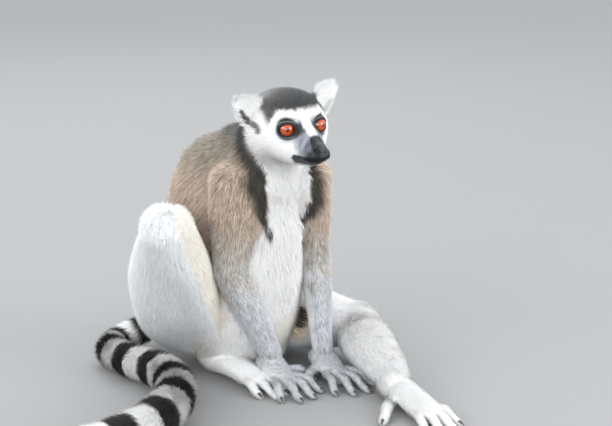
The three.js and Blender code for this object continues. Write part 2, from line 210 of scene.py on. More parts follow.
class Tube:
    """A tube round a line. A point's distance is |q - c| (1 - 1/rho), where c is the nearest place on the
    line and rho = sqrt((side/a)^2 + (deep/b)^2 + (beyond/reach)^2)."""

    def __init__(self, line, half, across, dome=0.9):
        self.line = np.asarray(line, float)
        self.half = np.asarray(half, float)
        self.way = unit(np.gradient(self.line, axis=0))
        across = vec(*across)
        self.side = unit(across - (self.way @ across)[:, None] * self.way)
        self.table = np.column_stack([self.line, self.way, self.side, self.half, dome * self.half.min(1)])
        pad = self.half.max() + 14
        self.box = self.line.min(0) - pad, self.line.max(0) + pad

    def near(self, q):
        best = np.full(len(q), np.inf)
        place = np.zeros(len(q))
        for i, (a, b) in enumerate(zip(self.line[:-1], self.line[1:])):
            step = b - a
            h = np.clip((q - a) @ step / (step @ step), 0, 1)
            gap = ((q - a - h[:, None] * step) ** 2).sum(1)
            closer = gap < best
            best[closer] = gap[closer]
            place[closer] = i + h[closer]
        i = np.minimum(place.astype(int), len(self.line) - 2)
        here = mix(self.table[i], self.table[i + 1], place - i)
        c, way, side = here[:, :3], unit(here[:, 3:6]), unit(here[:, 6:9])
        off = q - c
        deep = np.cross(way, side)
        u, v, w = dot(off, side) / here[:, 9], dot(off, deep) / here[:, 10], dot(off, way) / here[:, 11]
        rho = np.maximum(np.sqrt(u * u + v * v + w * w), 1e-6)
        reach = norm(off)
        return reach * (1 - 1 / rho), place / (len(self.line) - 1), np.arctan2(v, u), way, unit(off)


def head_axes():
    """Left, forward and up of the head, as rows: level axes turned to its right, then rolled about forward."""
    left = vec(math.cos(TURN), -math.sin(TURN), 0)
    forward, up = vec(-math.sin(TURN), -math.cos(TURN), 0), vec(0, 0, 1)
    cos, sin = math.cos(ROLL), math.sin(ROLL)
    return np.array([left * cos + up * sin, forward, up * cos - left * sin])


HEAD_AXES = head_axes()


def to_head(q):
    return (q - EYES) @ HEAD_AXES.T


def from_head(p):
    return EYES + np.asarray(p, float) @ HEAD_AXES


def mirrored(p):
    """Places in the head's frame, all brought over to its left side."""
    return np.column_stack([np.abs(p[:, 0]), p[:, 1:]])


def eye_frame(sign, degrees=EYE["out"]):
    """The centre of an eyeball and its axes in the head's frame: sideways, ahead but so many degrees outwards,
    and up."""
    out = math.radians(degrees)
    gaze, up = vec(sign * math.sin(out), math.cos(out), 0), vec(0, 0, 1)
    return vec(sign * EYE["side"], EYE["forward"], EYE["up"]), np.array([np.cross(gaze, up), gaze, up])


def face_depth(forward):
    """How deep the coat of the head is: fullest behind the cheeks, thinnest on the muzzle."""
    return 0.7 + 3.6 * (1 - ramp(-22, 8, forward)) + 0.9 * (1 - ramp(6, 22, forward))


class Skull:
    """The head in its own frame: rings of half-width w and half-height h about a middle line, read smoothly
    along it, in which rho = sqrt((left / (w (1 - narrowing u)))^2 + u^2) with u = up / h."""

    def __init__(self):
        self.box = EYES - 66, EYES + 66

    def near(self, q):
        p = to_head(q)
        left, forward, up = p.T
        first, last = SKULL[0][0] + 2, SKULL[-1][0] - 0.5
        at = np.clip(forward, first, last)
        top, bottom, wide, narrow = reading(SKULL, at).T
        inset = face_depth(at)
        half = (top - bottom) / 2 - inset
        u = (up - (top + bottom) / 2) / half
        wide = (wide - inset) * (1 - narrow * np.clip(u, -1, 1))
        beyond = (forward - at) / np.where(forward > 0, 1.4, 3.5)
        rho = np.maximum(np.sqrt((left / wide) ** 2 + u * u + beyond**2), 1e-6)
        reach = np.sqrt(left**2 + (u * half) ** 2 + (forward - at) ** 2)
        d = reach * (1 - 1 / rho)
        d *= np.clip(1 - 0.25 * ramp(-8, 2, forward) * (1 - ramp(14, 24, forward)), 0.5, 1)
        d = self.features(p, d)
        flow = unit(p - vec(0, 37, -12))
        return d, (forward - first) / (last - first), np.arctan2(up, left), flow @ HEAD_AXES, unit(p) @ HEAD_AXES

    def features(self, p, d):
        """Orbits, lids round each eye opening, brow, whisker pads, nose pad, nostrils and the line of the mouth."""
        m = mirrored(p)
        side, forward, up = m.T

        def ball(place, half):
            rho = np.maximum(norm((m - vec(*place)) / vec(*half)), 1e-6)
            return (rho - 1) * min(half)

        d = smooth_min(d, ball((6.2, 25.5, -19.8), (4.9, 8.2, 5.8)), 3.0)
        d = smooth_min(d, ball((9.5, 4.0, 10.6), (8.5, 4.6, 4.0)), 7.0)
        d = smooth_min(d, ball((24.5, -19, -8), (7.5, 10, 11)), 9.0)
        middle, axes = eye_frame(1)
        off = m - middle
        x, y, z = (off @ axes.T).T
        reach = norm(off)
        d = cut(d, norm(off - axes[1] * 12.5 - axes[0] * 0.4) - 8.6, 3.5)
        d = smooth_min(d, reach - EYE["radius"] - 1.15, 1.8)
        lift = np.where(z > 0, 4.4, 4.7) * (1 - 0.1 * (x / 7.4))
        opening = (np.sqrt((x / 7.3) ** 2 + (z / lift) ** 2) - 1) * 5.2
        opening = np.where(y > 0, opening, 9.0)
        d = cut(d, np.maximum(opening, EYE["radius"] - 1.5 - reach), 0.9)
        d = smooth_min(d, ball(NOSE["place"], NOSE["half"]), 1.2)
        d = cut(d, ball((5.4, 35.6, -14.4), (1.9, 3.0, 2.0)), 0.5)
        d = cut(d, ball((4.0, 37.0, -16.4), (2.8, 2.6, 1.1)), 0.4)
        slit = np.maximum(side - 0.35, np.abs(up + 20.5) - 2.8)
        d = cut(d, np.maximum(slit, -d - 0.9), 0.5)
        lip = -24.2 + 1.3 * ramp(20, 38, forward) - 1.2 * (1 - ramp(8, 16, forward))
        groove = np.maximum(np.abs(up - lip) - 0.35, 8.0 - forward)
        return cut(d, np.maximum(groove, -d - 1.3), 0.6)


class Ear:
    """A cupped leaf: at share t of its length its half-width is w, and its sheet stands forward of the middle
    by curl ((side / W)^2 - 0.4). rho = sqrt((side / w)^2 + (forward of the sheet / thickness)^2)."""

    def __init__(self, which):
        self.sign = SIGN[which]
        self.length, self.wide = EAR["length"][which], EAR["wide"][which]
        out, back, face = (math.radians(a) for a in (EAR["out"][which], EAR["back"][which], EAR["face"]))
        self.along = unit(vec(self.sign * math.sin(out), -math.sin(back), math.cos(out)))
        front = vec(self.sign * math.sin(face), math.cos(face), 0)
        self.front = unit(front - self.along * (front @ self.along))
        self.across = np.cross(self.along, self.front)
        self.root = vec(*EAR["root"][which]) * vec(self.sign, 1, 1)
        centre = from_head(self.root + self.along * 15)
        self.box = centre - 36, centre + 36

    def place(self, p):
        off = p - self.root
        return off @ self.along / self.length + 0.2, off @ self.across, off @ self.front

    def near(self, q):
        p = to_head(q)
        t, side, front = self.place(p)
        at = np.clip(t, 0.04, 0.95)
        wide = (self.wide - 0.8) * np.sin(math.pi * at ** EAR["lean"]) ** EAR["fullness"]
        wide *= 1 - 0.34 * ramp(-2, 7, -self.sign * side) * (1 - 0.5 * at)
        thick = (EAR["thick"] - 1.6) * (1 - 0.4 * at)
        curl = EAR["hollow"] * np.sin(math.pi * np.minimum(1, 0.25 + 0.8 * at))
        bow = curl * ((np.clip(side, -self.wide, self.wide) / self.wide) ** 2 - 0.4)
        slope = 2 * curl * np.clip(side, -self.wide, self.wide) / self.wide**2
        sheet = (front - bow) / np.sqrt(1 + slope**2)
        beyond = (t - at) * self.length / 3.0
        rho = np.maximum(np.sqrt((side / wide) ** 2 + (sheet / thick) ** 2 + beyond**2), 1e-6)
        d = (rho - 1) * np.minimum(thick, wide)
        far = np.sqrt(side**2 + sheet**2)
        d = np.maximum(d, np.minimum(far - wide, 20.0))
        flow = unit(self.along + self.across * (side / self.wide)[:, None] * 0.9)
        return d, t, np.arctan2(sheet, side), flow @ HEAD_AXES, unit(q - from_head(self.root))


# ---------------------------------------------------------------- the parts of the body


class Part:
    """One named part: its kind, which is its row in the table of coats, and the shapes that make it."""

    def __init__(self, name, kind, shapes):
        self.name, self.kind, self.shapes = name, kind, shapes

    def near(self, q):
        total = [np.full(len(q), FAR), np.zeros(len(q)), np.zeros(len(q)), np.tile(vec(0, 0, -1), (len(q), 1))]
        total.append(np.zeros((len(q), 3)))
        for shape in self.shapes:
            low, high = shape.box
            close = ((q > low) & (q < high)).all(1)
            if not close.any():
                continue
            found = shape.near(q[close])
            closer = close.copy()
            closer[close] = found[0] < total[0][close]
            pick = closer[close]
            blend = smooth_min(total[0][close], found[0], DIGIT_BLEND)
            for kept, new in zip(total[1:], found[1:]):
                kept[closer] = new[pick]
            total[0][close] = blend
        return total


def limb(a, b, girth, across, coat):
    share = np.linspace(0, 1, 9)
    half = reading(girth, share)
    line = mix(vec(*a), vec(*b), share)
    return Tube(line, half - coat, across)


def compass(shape, which):
    """Straight ahead and towards the thumb, for a hand or foot that points some degrees to the right."""
    turn = math.radians(shape["heading"][which])
    ahead = vec(-math.sin(turn), -math.cos(turn), 0)
    return ahead, vec(math.cos(turn), -math.sin(turn), 0) * -SIGN[which]


def ray_lines(shape, which):
    """The line of each digit: out of the palm, over its middle joint, and down to the floor at the tip."""
    ahead, thumb = compass(shape, which)
    ground = vec(*JOINT[shape["from"]][which]) * vec(1, 1, 0) - ahead * shape["heel"]
    lines = []
    for degrees, length, across, along in shape["rays"]:
        angle = math.radians(degrees)
        way = ahead * math.cos(angle) + thumb * math.sin(angle)
        start = ground + ahead * (along - DIGIT["buried"]) + thumb * across
        places = [0, *(DIGIT["buried"] + length * share for share in DIGIT["shares"])]
        lines.append((np.array([start + way * m + vec(0, 0, z) for m, z in zip(places, shape["heights"])]), way))
    return ground, ahead, thumb, lines


def paw(shape, which, coat):
    """A palm or sole and its five digits, with knuckles as soft swellings along each digit."""
    ground, ahead, thumb, lines = ray_lines(shape, which)
    line = curve([ground + ahead * along + vec(0, 0, z) for along, z in shape["line"]], 8)
    half = reading(shape["girth"], np.linspace(0, 1, 8))
    shapes = [Tube(line, half - coat, thumb, shape["dome"])]
    t = np.linspace(0, 1, 12)
    swell = 1 + 0.1 * np.cos(2 * math.pi * (t - 0.15) / 0.36) * (1 - t)
    for number, (bones, way) in enumerate(lines):
        radius = shape["radius"] * (DIGIT["thumb"] if number == 0 else 1) * swell[:, None]
        half = radius * reading(DIGIT["girth"], t) - coat * 0.6
        shapes.append(Tube(curve(bones, 12), half, (-way[1], way[0], 0), dome=1.0))
    return shapes


def make_parts():
    spine = curve([(0, y, z) for y, z, _, _ in TRUNK], 16)
    girth = reading([(i / 5, w, d) for i, (_, _, w, d) in enumerate(TRUNK)], np.linspace(0, 1, 16))
    parts = [Part("trunk", "trunk", [Tube(spine, girth - COAT["trunk"][0], (1, 0, 0), 0.72)])]
    parts.append(Part("neck", "neck", [limb(NECK["from"], NECK["to"], NECK["girth"], (1, 0, 0), COAT["neck"][0])]))
    line = curve([row[:3] for row in TAIL], 60)
    radius = reading([(i / 12, row[3]) for i, row in enumerate(TAIL)], np.linspace(0, 1, 60))
    parts.append(Part("tail", "tail", [Tube(line, np.repeat(radius * TAIL_CORE, 2, axis=1), (0, 0, 1))]))
    parts.append(Part("head", "head", [Skull()]))
    parts += [Part(f"ear_{which}", "ear", [Ear(which)]) for which in SIDES]
    for which in SIDES:
        at = {name: vec(*places[which]) for name, places in JOINT.items()}
        arm = unit(np.cross(at["elbow"] - at["shoulder"], at["wrist"] - at["elbow"]))
        leg = unit(np.cross(at["knee"] - at["hip"], at["ankle"] - at["knee"]))
        for name, a, b, across in (
            ("upper_arm", "shoulder", "elbow", arm), ("forearm", "elbow", "wrist", arm),
            ("thigh", "hip", "knee", leg), ("shank", "knee", "ankle", leg),
        ):
            tube = limb(at[a], at[b], GIRTH[name], across, COAT[name][0])
            parts.append(Part(f"{name}_{which}", name, [tube]))
        parts.append(Part(f"hand_{which}", "hand", paw(HAND, which, COAT["hand"][0])))
        parts.append(Part(f"foot_{which}", "foot", paw(FOOT, which, COAT["foot"][0])))
    return {part.name: part for part in parts}


PARTS = make_parts()
# Parts that flow into each other, and how softly the whole chain joins the trunk: [parts, blends, joint].
CHAINS = [
    (("trunk", "neck", "tail", "head", "ear_right", "ear_left"), (0, 14, 10, 24, 4, 4), None),
    *[((f"upper_arm_{s}", f"forearm_{s}", f"hand_{s}"), (0, 7, 3), JOINT["shoulder"][s]) for s in SIDES],
    *[((f"thigh_{s}", f"shank_{s}", f"foot_{s}"), (0, 10, 5), JOINT["hip"][s]) for s in SIDES],
]


def field(q, found=None):
    """Signed distance to the skin. Each chain is a smooth union of its parts, and the chains join over a
    blend that is wide at the shoulder or hip and narrow away from it."""
    whole = np.full(len(q), FAR)
    for names, blends, joint in CHAINS:
        chain = np.full(len(q), FAR)
        for name, blend in zip(names, blends):
            near = PARTS[name].near(q)
            if found is not None:
                found[name] = near
            chain = smooth_min(chain, near[0], max(blend, 0.1))
        k = 1.0
        if joint is not None:
            k = 1.0 + 32 * np.exp(-((norm(q - vec(*joint)) / 48) ** 2))
        whole = smooth_min(whole, chain, k)
    return np.maximum(whole, FLOOR - q[:, 2])


def slope_of(q, step=0.15):
    base = field(q)
    return base, np.column_stack([(field(q + step * axis) - base) / step for axis in np.eye(3)])


def settle(v, times, most=1.5):
    """Newton's steps onto the skin: v less field times slope over slope squared, no longer than `most`."""
    v = v.copy()
    for _ in range(times):
        base, slope = slope_of(v)
        move = base[:, None] * slope / np.maximum((slope**2).sum(1), 0.05)[:, None]
        size = np.linalg.norm(move, axis=1, keepdims=True)
        v = v - move * np.minimum(1, most / np.maximum(size, 1e-9))
    return v

# ---------------------------------------------------------------- from the field to a mesh


def grid_lines():
    """Where the grid's planes lie along x, y and z: close together at the head, hands and feet."""

    def run(*bands):
        return np.concatenate([np.arange(low, high, step) for low, high, step in bands])

    return (
        run((-384, -78, 3.6), (-78, -50, 2.4), (-50, 14, 1.35), (14, 60, 2.0), (60, 125, 3.0)),
        run((-262, -148, 2.1), (-148, -84, 1.4), (-84, -60, 2.0), (-60, 125, 3.6)),
        run((-1.6, 33, 1.6), (33, 190, 3.6), (190, 268, 1.4)),
    )


def field_on(lines, block=4, band=13.0):
    """The field on the grid: everywhere on every fourth plane, and in full only in blocks near the skin."""
    spots = np.stack(np.meshgrid(*lines, indexing="ij"), -1)
    coarse = field(spots[::block, ::block, ::block].reshape(-1, 3))
    coarse = coarse.reshape([-(-len(line) // block) for line in lines])
    close = np.abs(coarse) < band
    for axis in range(3):
        close = close | np.roll(close, 1, axis) | np.roll(close, -1, axis)
    value, near = coarse, close
    for axis in range(3):
        value, near = (a.repeat(block, axis).take(range(len(lines[axis])), axis) for a in (value, near))
    value = value.copy()
    value[near] = field(spots[near])
    return value


def net(lines, value):
    """A surface net: one point in each cell that the surface crosses, at the mean of its edge crossings, and
    one four-sided face for each crossed edge of the grid."""
    inside = value < 0
    corners = np.zeros(tuple(n - 1 for n in value.shape), np.int8)
    for corner in np.ndindex(2, 2, 2):
        corners += inside[tuple(slice(d, n - 1 + d) for d, n in zip(corner, value.shape))]
    cell = np.argwhere((corners > 0) & (corners < 8))
    number = np.full(corners.shape, -1, np.int64)
    number[tuple(cell.T)] = np.arange(len(cell))
    total = np.zeros((len(cell), 3))
    count = np.zeros(len(cell))
    faces = []
    for axis in range(3):
        one, two = [(1, 2), (2, 0), (0, 1)][axis]
        for a, b in np.ndindex(2, 2):
            start = cell.copy()
            start[:, one] += a
            start[:, two] += b
            end = start.copy()
            end[:, axis] += 1
            p, q = value[tuple(start.T)], value[tuple(end.T)]
            crossed = (p < 0) != (q < 0)
            place = start.astype(float)
            place[:, axis] += np.where(crossed, p / np.where(crossed, p - q, 1), 0)
            total += place * crossed[:, None]
            count += crossed
        low = inside.take(range(value.shape[axis] - 1), axis)
        high = inside.take(range(1, value.shape[axis]), axis)
        edge = np.argwhere(low != high)
        outward = low[tuple(edge.T)]
        keep = (edge[:, one] > 0) & (edge[:, two] > 0)
        keep &= (edge[:, one] < value.shape[one] - 1) & (edge[:, two] < value.shape[two] - 1)
        edge, outward = edge[keep], outward[keep]
        quad = []
        for a, b in ((1, 1), (0, 1), (0, 0), (1, 0)):
            c = edge.copy()
            c[:, one] -= a
            c[:, two] -= b
            quad.append(number[tuple(c.T)])
        quad = np.column_stack(quad)
        quad[~outward] = quad[~outward][:, ::-1]
        faces.append(quad)
    place = total / count[:, None]
    points = np.column_stack([np.interp(place[:, i], np.arange(len(lines[i])), lines[i]) for i in range(3)])
    return points, np.concatenate(faces)


def relax(v, tris, share=0.5):
    """Each point moves part of the way to the mean of its neighbours."""
    a = np.concatenate([tris[:, 0], tris[:, 1], tris[:, 2]])
    b = np.concatenate([tris[:, 1], tris[:, 2], tris[:, 0]])
    count = np.bincount(a, minlength=len(v)) + np.bincount(b, minlength=len(v))
    mean = np.column_stack([
        (np.bincount(a, v[b, i], len(v)) + np.bincount(b, v[a, i], len(v))) / count for i in range(3)])
    return mix(v, mean, np.full(len(v), share))


def split(v, tris, wanted):
    """Cuts each edge whose two ends are wanted in half, and each triangle by how many of its edges were cut."""
    edges = np.sort(np.concatenate([tris[:, [0, 1]], tris[:, [1, 2]], tris[:, [2, 0]]]), axis=1)
    unique, inverse = np.unique(edges, axis=0, return_inverse=True)
    marked = wanted[unique[:, 0]] & wanted[unique[:, 1]]
    number = np.full(len(unique), -1)
    number[marked] = len(v) + np.arange(marked.sum())
    middle = (v[unique[marked, 0]] + v[unique[marked, 1]]) / 2
    m = number[inverse.reshape(3, -1).T]
    count = (m >= 0).sum(1)
    out = [tris[count == 0]]
    full, f = tris[count == 3], m[count == 3]
    out += [np.column_stack([full[:, k], f[:, k], f[:, k - 1]]) for k in range(3)] + [f]
    for edge in range(3):
        turn = [edge, (edge + 1) % 3, (edge + 2) % 3]
        some = (count == 1) & (m[:, edge] >= 0)
        t, x = tris[some][:, turn], m[some, edge]
        out += [np.column_stack([t[:, 0], x, t[:, 2]]), np.column_stack([x, t[:, 1], t[:, 2]])]
        some = (count == 2) & (m[:, turn[2]] < 0)
        t, x, y = tris[some][:, turn], m[some, edge], m[some, turn[1]]
        out += [np.column_stack(three) for three in ((x, t[:, 1], y), (t[:, 0], x, y), (t[:, 0], y, t[:, 2]))]
    return np.concatenate([v, middle]), np.concatenate(out)


def normals_of(v, tris):
    """The unit normal at each point: the sum of its triangles' cross products."""
    cross = np.cross(v[tris[:, 1]] - v[tris[:, 0]], v[tris[:, 2]] - v[tris[:, 0]])
    return unit(np.column_stack([
        sum(np.bincount(tris[:, k], cross[:, i], len(v)) for k in range(3)) for i in range(3)]))


def make_mesh(name, points, faces, material, colours=None, replaces=(), normals=None):
    """An object at the origin from points in millimetres and a list of arrays of faces, shaded smooth, or by
    the normals that are given for its points."""
    mesh = bpy.data.meshes.new(name)
    sizes = np.concatenate([np.full(len(f), f.shape[1]) for f in faces])
    corners = np.concatenate([f.reshape(-1) for f in faces])
    mesh.vertices.add(len(points))
    mesh.vertices.foreach_set("co", (points * MM).astype(np.float32).reshape(-1))
    mesh.loops.add(len(corners))
    mesh.loops.foreach_set("vertex_index", corners.astype(np.int32))
    mesh.polygons.add(len(sizes))
    mesh.polygons.foreach_set("loop_start", np.r_[0, np.cumsum(sizes)[:-1]].astype(np.int32))
    mesh.update(calc_edges=True)
    mesh.polygons.foreach_set("use_smooth", np.ones(len(sizes), bool))
    if colours is not None:
        layer = mesh.color_attributes.new("marking", "FLOAT_COLOR", "POINT")
        data = np.ones((len(points), 4), np.float32)
        data[:, :3] = colours
        layer.data.foreach_set("color", data.reshape(-1))
    mesh.materials.append(material)
    mesh.validate()
    if normals is not None:
        layer = mesh.attributes.new("custom_normal", "FLOAT_VECTOR", "POINT")
        layer.data.foreach_set("vector", normals.astype(np.float32).reshape(-1))
    made = bpy.data.objects.new(name, mesh)
    bpy.context.scene.collection.objects.link(made)
    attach(made, "root")
    if replaces:
        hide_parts(*replaces)
    return made


def ring_faces(rings, around, start=0):
    """Faces outside rings of points that are numbered from `start`, ring by ring, and outside the two points
    after them, which close the first ring and the last."""
    grid = np.arange(rings * around).reshape(rings, around) + start
    after = np.roll(grid, -1, 1)
    quads = np.stack([grid[:-1], grid[1:], after[1:], after[:-1]], -1).reshape(-1, 4)
    end = np.full(around, start + rings * around)
    return quads, np.concatenate([
        np.column_stack([end, grid[0], after[0]]), np.column_stack([end + 1, after[-1], grid[-1]])])


def add_map(mesh, name, uv):
    """A UV map, from one place for each point."""
    corner = np.zeros(len(mesh.loops), np.int32)
    mesh.loops.foreach_get("vertex_index", corner)
    mesh.uv_layers.new(name=name).data.foreach_set("uv", uv[corner].astype(np.float32).reshape(-1))


# ---------------------------------------------------------------- markings


def linear(*levels):
    """A colour given in screen levels from 0 to 255, as the linear numbers that a shader takes."""
    shares = (c / 255 / 12.92 if c < 10 else ((c / 255 + 0.055) / 1.055) ** 2.4 for c in levels)
    return tuple(round(share, 4) for share in shares)


def near_line(q, line):
    """Distance to a line of points."""
    best = np.full(len(q), FAR)
    for a, b in zip(line[:-1], line[1:]):
        h = np.clip((q - a) @ (b - a) / ((b - a) @ (b - a)), 0, 1)
        best = np.minimum(best, norm(q - a - h[:, None] * (b - a)))
    return best


def survey(q):
    """Where each point lies: every part's reading, and how much the point belongs to each part."""
    found = {}
    field(q, found)
    gap = np.array([found[name][0] for name in PARTS])
    soft = np.array([1.2 if part.kind == "ear" else 3.0 for part in PARTS.values()])[:, None]
    share = np.exp(-np.clip(gap - gap.min(0), 0, 50) / soft)
    return found, dict(zip(PARTS, share / share.sum(0)))


def head_marks(q, near, tone):
    """White face, dark cap, black round the eyes and on the muzzle, slate between the eyes and the muzzle, and painted
    shade in the nostrils.
    """
    p = to_head(q)
    m = mirrored(p)
    side, forward, up = m.T
    rag = waves(q, 7, 3)
    colour = np.tile(tone["white"], (len(q), 1))
    brow = 14.8 - 11.5 * (np.clip(side - 18.5, 0, 12) / 8.8) ** 1.25
    edge = 27.0 - 0.06 * (up - 7) + 5 * ramp(-22, -32, forward)
    cap = ramp(-1.2, 1.2, up + 0.35 * rag + 0.5 * waves(q, 2.4, 17) - brow) * ramp(1.5, -1.5, side + 0.8 * rag - edge)
    nape = ramp(24, 30, -forward) * ramp(-16, -8, up + rag)
    colour = mix(colour, tone["crown"], np.maximum(cap, nape))
    colour = mix(colour, tone["black"], 0.35 * np.exp(-(((up + rag - brow - 3) / 3.5) ** 2)) * cap)
    sides = ramp(3.0, 5.6, side + 0.25 * np.clip(forward - 20, 0, 9) + 0.4 * rag) * ramp(-27, -24, up)
    below = ramp(2.2, -2.2, up + 0.85 * (forward - 10) - 8 + 0.5 * rag)
    cheek = forward - 14.5 + 0.5 * np.clip(up + 8, -14, 9) + 0.7 * rag
    streaks = waves(p * vec(0.6, 1.0, 0.4), 3.0, 41)
    slate = ramp(-7, 4, cheek + 0.7 * streaks) * below * sides
    colour = mix(colour, tone["muzzle"], slate * (0.9 + 0.08 * streaks))
    dusk = ramp(-5, 5, forward - 26 + 1.2 * streaks + 0.8 * rag) * sides * ramp(-4, -8, up)
    colour = mix(colour, tone["dusk"], 0.9 * dusk)
    middle, axes = eye_frame(1)
    off = m - middle
    x, _, z = (off @ axes.T).T
    toward = np.clip(-x, 0, 20)
    tall = np.where(z > 0, 10.2, 9.0) - 0.12 * toward
    patch = np.sqrt((x / np.where(x > 0, 9.0, 10.6)) ** 2 + ((z + 0.05 * toward) / tall) ** 2)
    rim = np.sqrt((x / 8.3) ** 2 + (z / 6.1) ** 2)
    ahead = ramp(-3, 1, forward)
    colour = mix(colour, tone["muzzle"], 0.35 * (1 - ramp(1.0, 1.5, patch)) * ramp(2, -3, z) * ahead)
    corner = norm(off - vec(-6.5, 11.5, 0.5))
    colour = mix(colour, tone["black"], 0.8 * (1 - ramp(2.5, 8.5, corner)) * sides)
    colour = mix(colour, tone["black"], (1 - ramp(0.86, 1.12, patch)) * ahead)
    line = np.exp(-(((rim - 1.13) / 0.045) ** 2)) * ahead * ramp(-9, -4, x)
    colour = mix(colour, tone["limb"], 0.3 * line)
    top = 1 - ramp(4.0, 7.0, side)
    snout = ramp(-1.2, 1.2, forward - 30.5 + 7.2 * top - 0.12 * (up + 14) + 0.5 * rag)
    colour = mix(colour, tone["black"], snout * (0.75 + 0.2 * top))
    back = forward + 0.5 * np.clip(-22 - up, 0, 6)
    lips = ramp(4.8, 3.2, np.hypot(up + 23.8, np.minimum(back - 14.2, 0)) + 0.3 * rag)
    chin = ramp(22, 25, forward) * ramp(21, 24, -up)
    colour = mix(colour, tone["black"], 0.95 * np.maximum(lips, chin))
    # Painted shade: the nostrils darkened to a fifth of the face's colour inside their hollows.
    nostril = norm((m - vec(5.2, 35.6, -14.6)) / vec(2.3, 3.5, 2.3))
    return colour * (1 - 0.8 * ramp(1.15, 0.85, nostril))[:, None]


# The fold low on the inside of an ear and in front of it, painted black as painted shade in the ear's hollow and left
# bare, in the frame of the head, for either side.
EAR_FOLD_SHADE_LINE = np.array([
    (41.0, -23.9, 12.0), (39.1, -23.6, 8.7), (36.2, -22.6, 4.3),
    (33.6, -20.4, 3.2), (32.7, -15.1, 1.7), (32.2, -11.0, -1.9),
])


def ear_fold_shade(q, found, share):
    """How much a point is in that fold, which gets painted shade."""
    p = to_head(q)
    fold = ramp(3.6, 2.0, near_line(mirrored(p), EAR_FOLD_SHADE_LINE) + 0.6 * waves(q, 5, 31)) * np.where(p[:, 0] < 0, 1.0, 0.3)
    inner = sum(share[f"ear_{which}"] * ramp(-0.2, 0.1, np.sin(found[f"ear_{which}"][2])) for which in SIDES)
    return fold * np.minimum(share["head"] + inner, 1)


def ear_marks(q, near, tone):
    """White darkened to 0.86 as painted shade, with the cap's colour at the root."""
    side, _, up = to_head(q).T
    root = ramp(26.6, 25.2, np.abs(side)) * ramp(3, 9, up) * ramp(0.54, 0.42, near[1])
    return mix(np.tile(tone["white"] * 0.86, (len(q), 1)), tone["crown"], root)


# The inner edge of the dark band down each side of the throat, from below: [height, x, y, width of the band].
BAND = {
    "right": [
        (118, -20, -60, 0), (132, -19, -59.5, 2), (149, -21.2, -60.5, 7), (164, -25.8, -65, 14),
        (178, -29.5, -67, 18), (189, -28.5, -66, 19), (199, -31, -62, 17), (216, -35.9, -57, 12), (226, -33, -48, 10),
    ],
    "left": [
        (120, 20, -66, 0), (130, 19, -66, 2), (137, 18.5, -69, 5), (144.5, 19.5, -73, 9), (153, 19, -77, 13),
        (162, 19.5, -77, 14), (175, 19.5, -78, 11), (185, 23, -77, 8), (201, 29, -68, 8), (226, 31, -50, 8),
    ],
}
# How far towards +X and +Y count towards a band's width.
ACROSS = {"right": vec(-0.643, 0.766), "left": vec(0.93, -0.25)}
GLANDS = ((-18.5, -62, 133), (20, -66, 127))  # bare scent glands at the armpits


def band_place(q, which):
    """How far each point lies outside a band's inner edge, and how wide the band is at its height."""
    x, y, width = reading(BAND[which], q[:, 2]).T
    out = (q[:, 0] - x) * ACROSS[which][0] + (q[:, 1] - y) * ACROSS[which][1]
    out += 1.1 * np.maximum(q[:, 1] - y - 12, 0) * (which == "left")
    return out, np.maximum(width, 0) * ramp(-2, 6, SIGN[which] * q[:, 0])


def trunk_marks(q, near, tone):
    """Brown back, grey nape and rump, white throat and belly, and a dark band down each side of the throat."""
    angle = np.degrees(np.arccos(np.clip(-unit(near[4] * vec(1, 1, 0))[:, 1], -1, 1)))
    rag = waves(q, 16, 5) * 4
    colour = mix(np.tile(tone["brown"], (len(q), 1)), tone["back"], 0.75 * ramp(160, 200, q[:, 2]))
    colour = mix(colour, tone["grey"], 0.7 * (1 - ramp(20, 75, q[:, 2])))
    front = 1 - ramp(40, 56, angle + rag - 10 * (1 - ramp(60, 110, q[:, 2])))
    colour = mix(colour, tone["white"], front * ramp(150, 128, q[:, 2]))
    _, forward, up = to_head(q).T
    colour = mix(colour, tone["crown"], ramp(24, 30, -forward) * ramp(-26, -8, up))
    return mix(colour, tone["cream"], 0.5 * ramp(26, 8, norm(q - vec(2, -62, 40))))


LIMB_INSIDE = {
    "arm_right": vec(1, 0.3, 0), "arm_left": vec(-0.7, 0.7, 0), "leg_right": vec(0.95, -0.1, 0.1),
    "leg_left": vec(-0.5, -0.25, 0.85),
}


def limb_marks(name, near, tone, q):
    """Grey outside and white inside. The arm is brown at the shoulder, and the shin has a cream stripe."""
    _, share, _, _, out = near
    kind, which = name.rsplit("_", 1)
    arm = kind in ("upper_arm", "forearm", "hand")
    inner = unit(out) @ unit(LIMB_INSIDE[("arm_" if arm else "leg_") + which])
    if kind == "upper_arm":
        inner = inner * ramp(0.25, 0.65, share)
    rag = 0.15 * waves(q, 14, 9)
    count = (len(q), 1)
    if kind == "upper_arm":
        colour = mix(np.tile(tone["brown"], count), tone["grey"], ramp(0.35, 1.0, share + rag))
    elif kind == "forearm":
        colour = mix(np.tile(tone["grey"], count), tone["limb"], ramp(0.0, 0.5, share + rag))
    elif arm:
        colour = np.tile(tone["limb"], count)
    elif kind == "foot":
        colour = np.tile(tone["white"], count)
    else:
        colour = np.tile(tone["thigh"], count)
    if kind == "hand":
        return mix(colour, tone["back"], 0.1 + 0.16 * np.abs(waves(q, 5, 15)))
    low, high, most = (0.35, 0.8, 0.85) if arm else (0.1, 0.55, 1)
    colour = mix(colour, tone["white"], ramp(low, high, inner + rag) * most)
    if kind == "shank":
        shin = ramp(0.35, 0.75, out @ unit(vec(0.55, -0.85, 0.1)) + rag * 0.5)
        colour = mix(colour, tone["cream"], shin * (0.8 if which == "right" else 0.2))
        colour = mix(colour, tone["white"], ramp(0.7, 0.95, share))
    if kind == "thigh":
        colour = mix(colour, tone["white"], ramp(0.82, 1.0, share))
    return colour


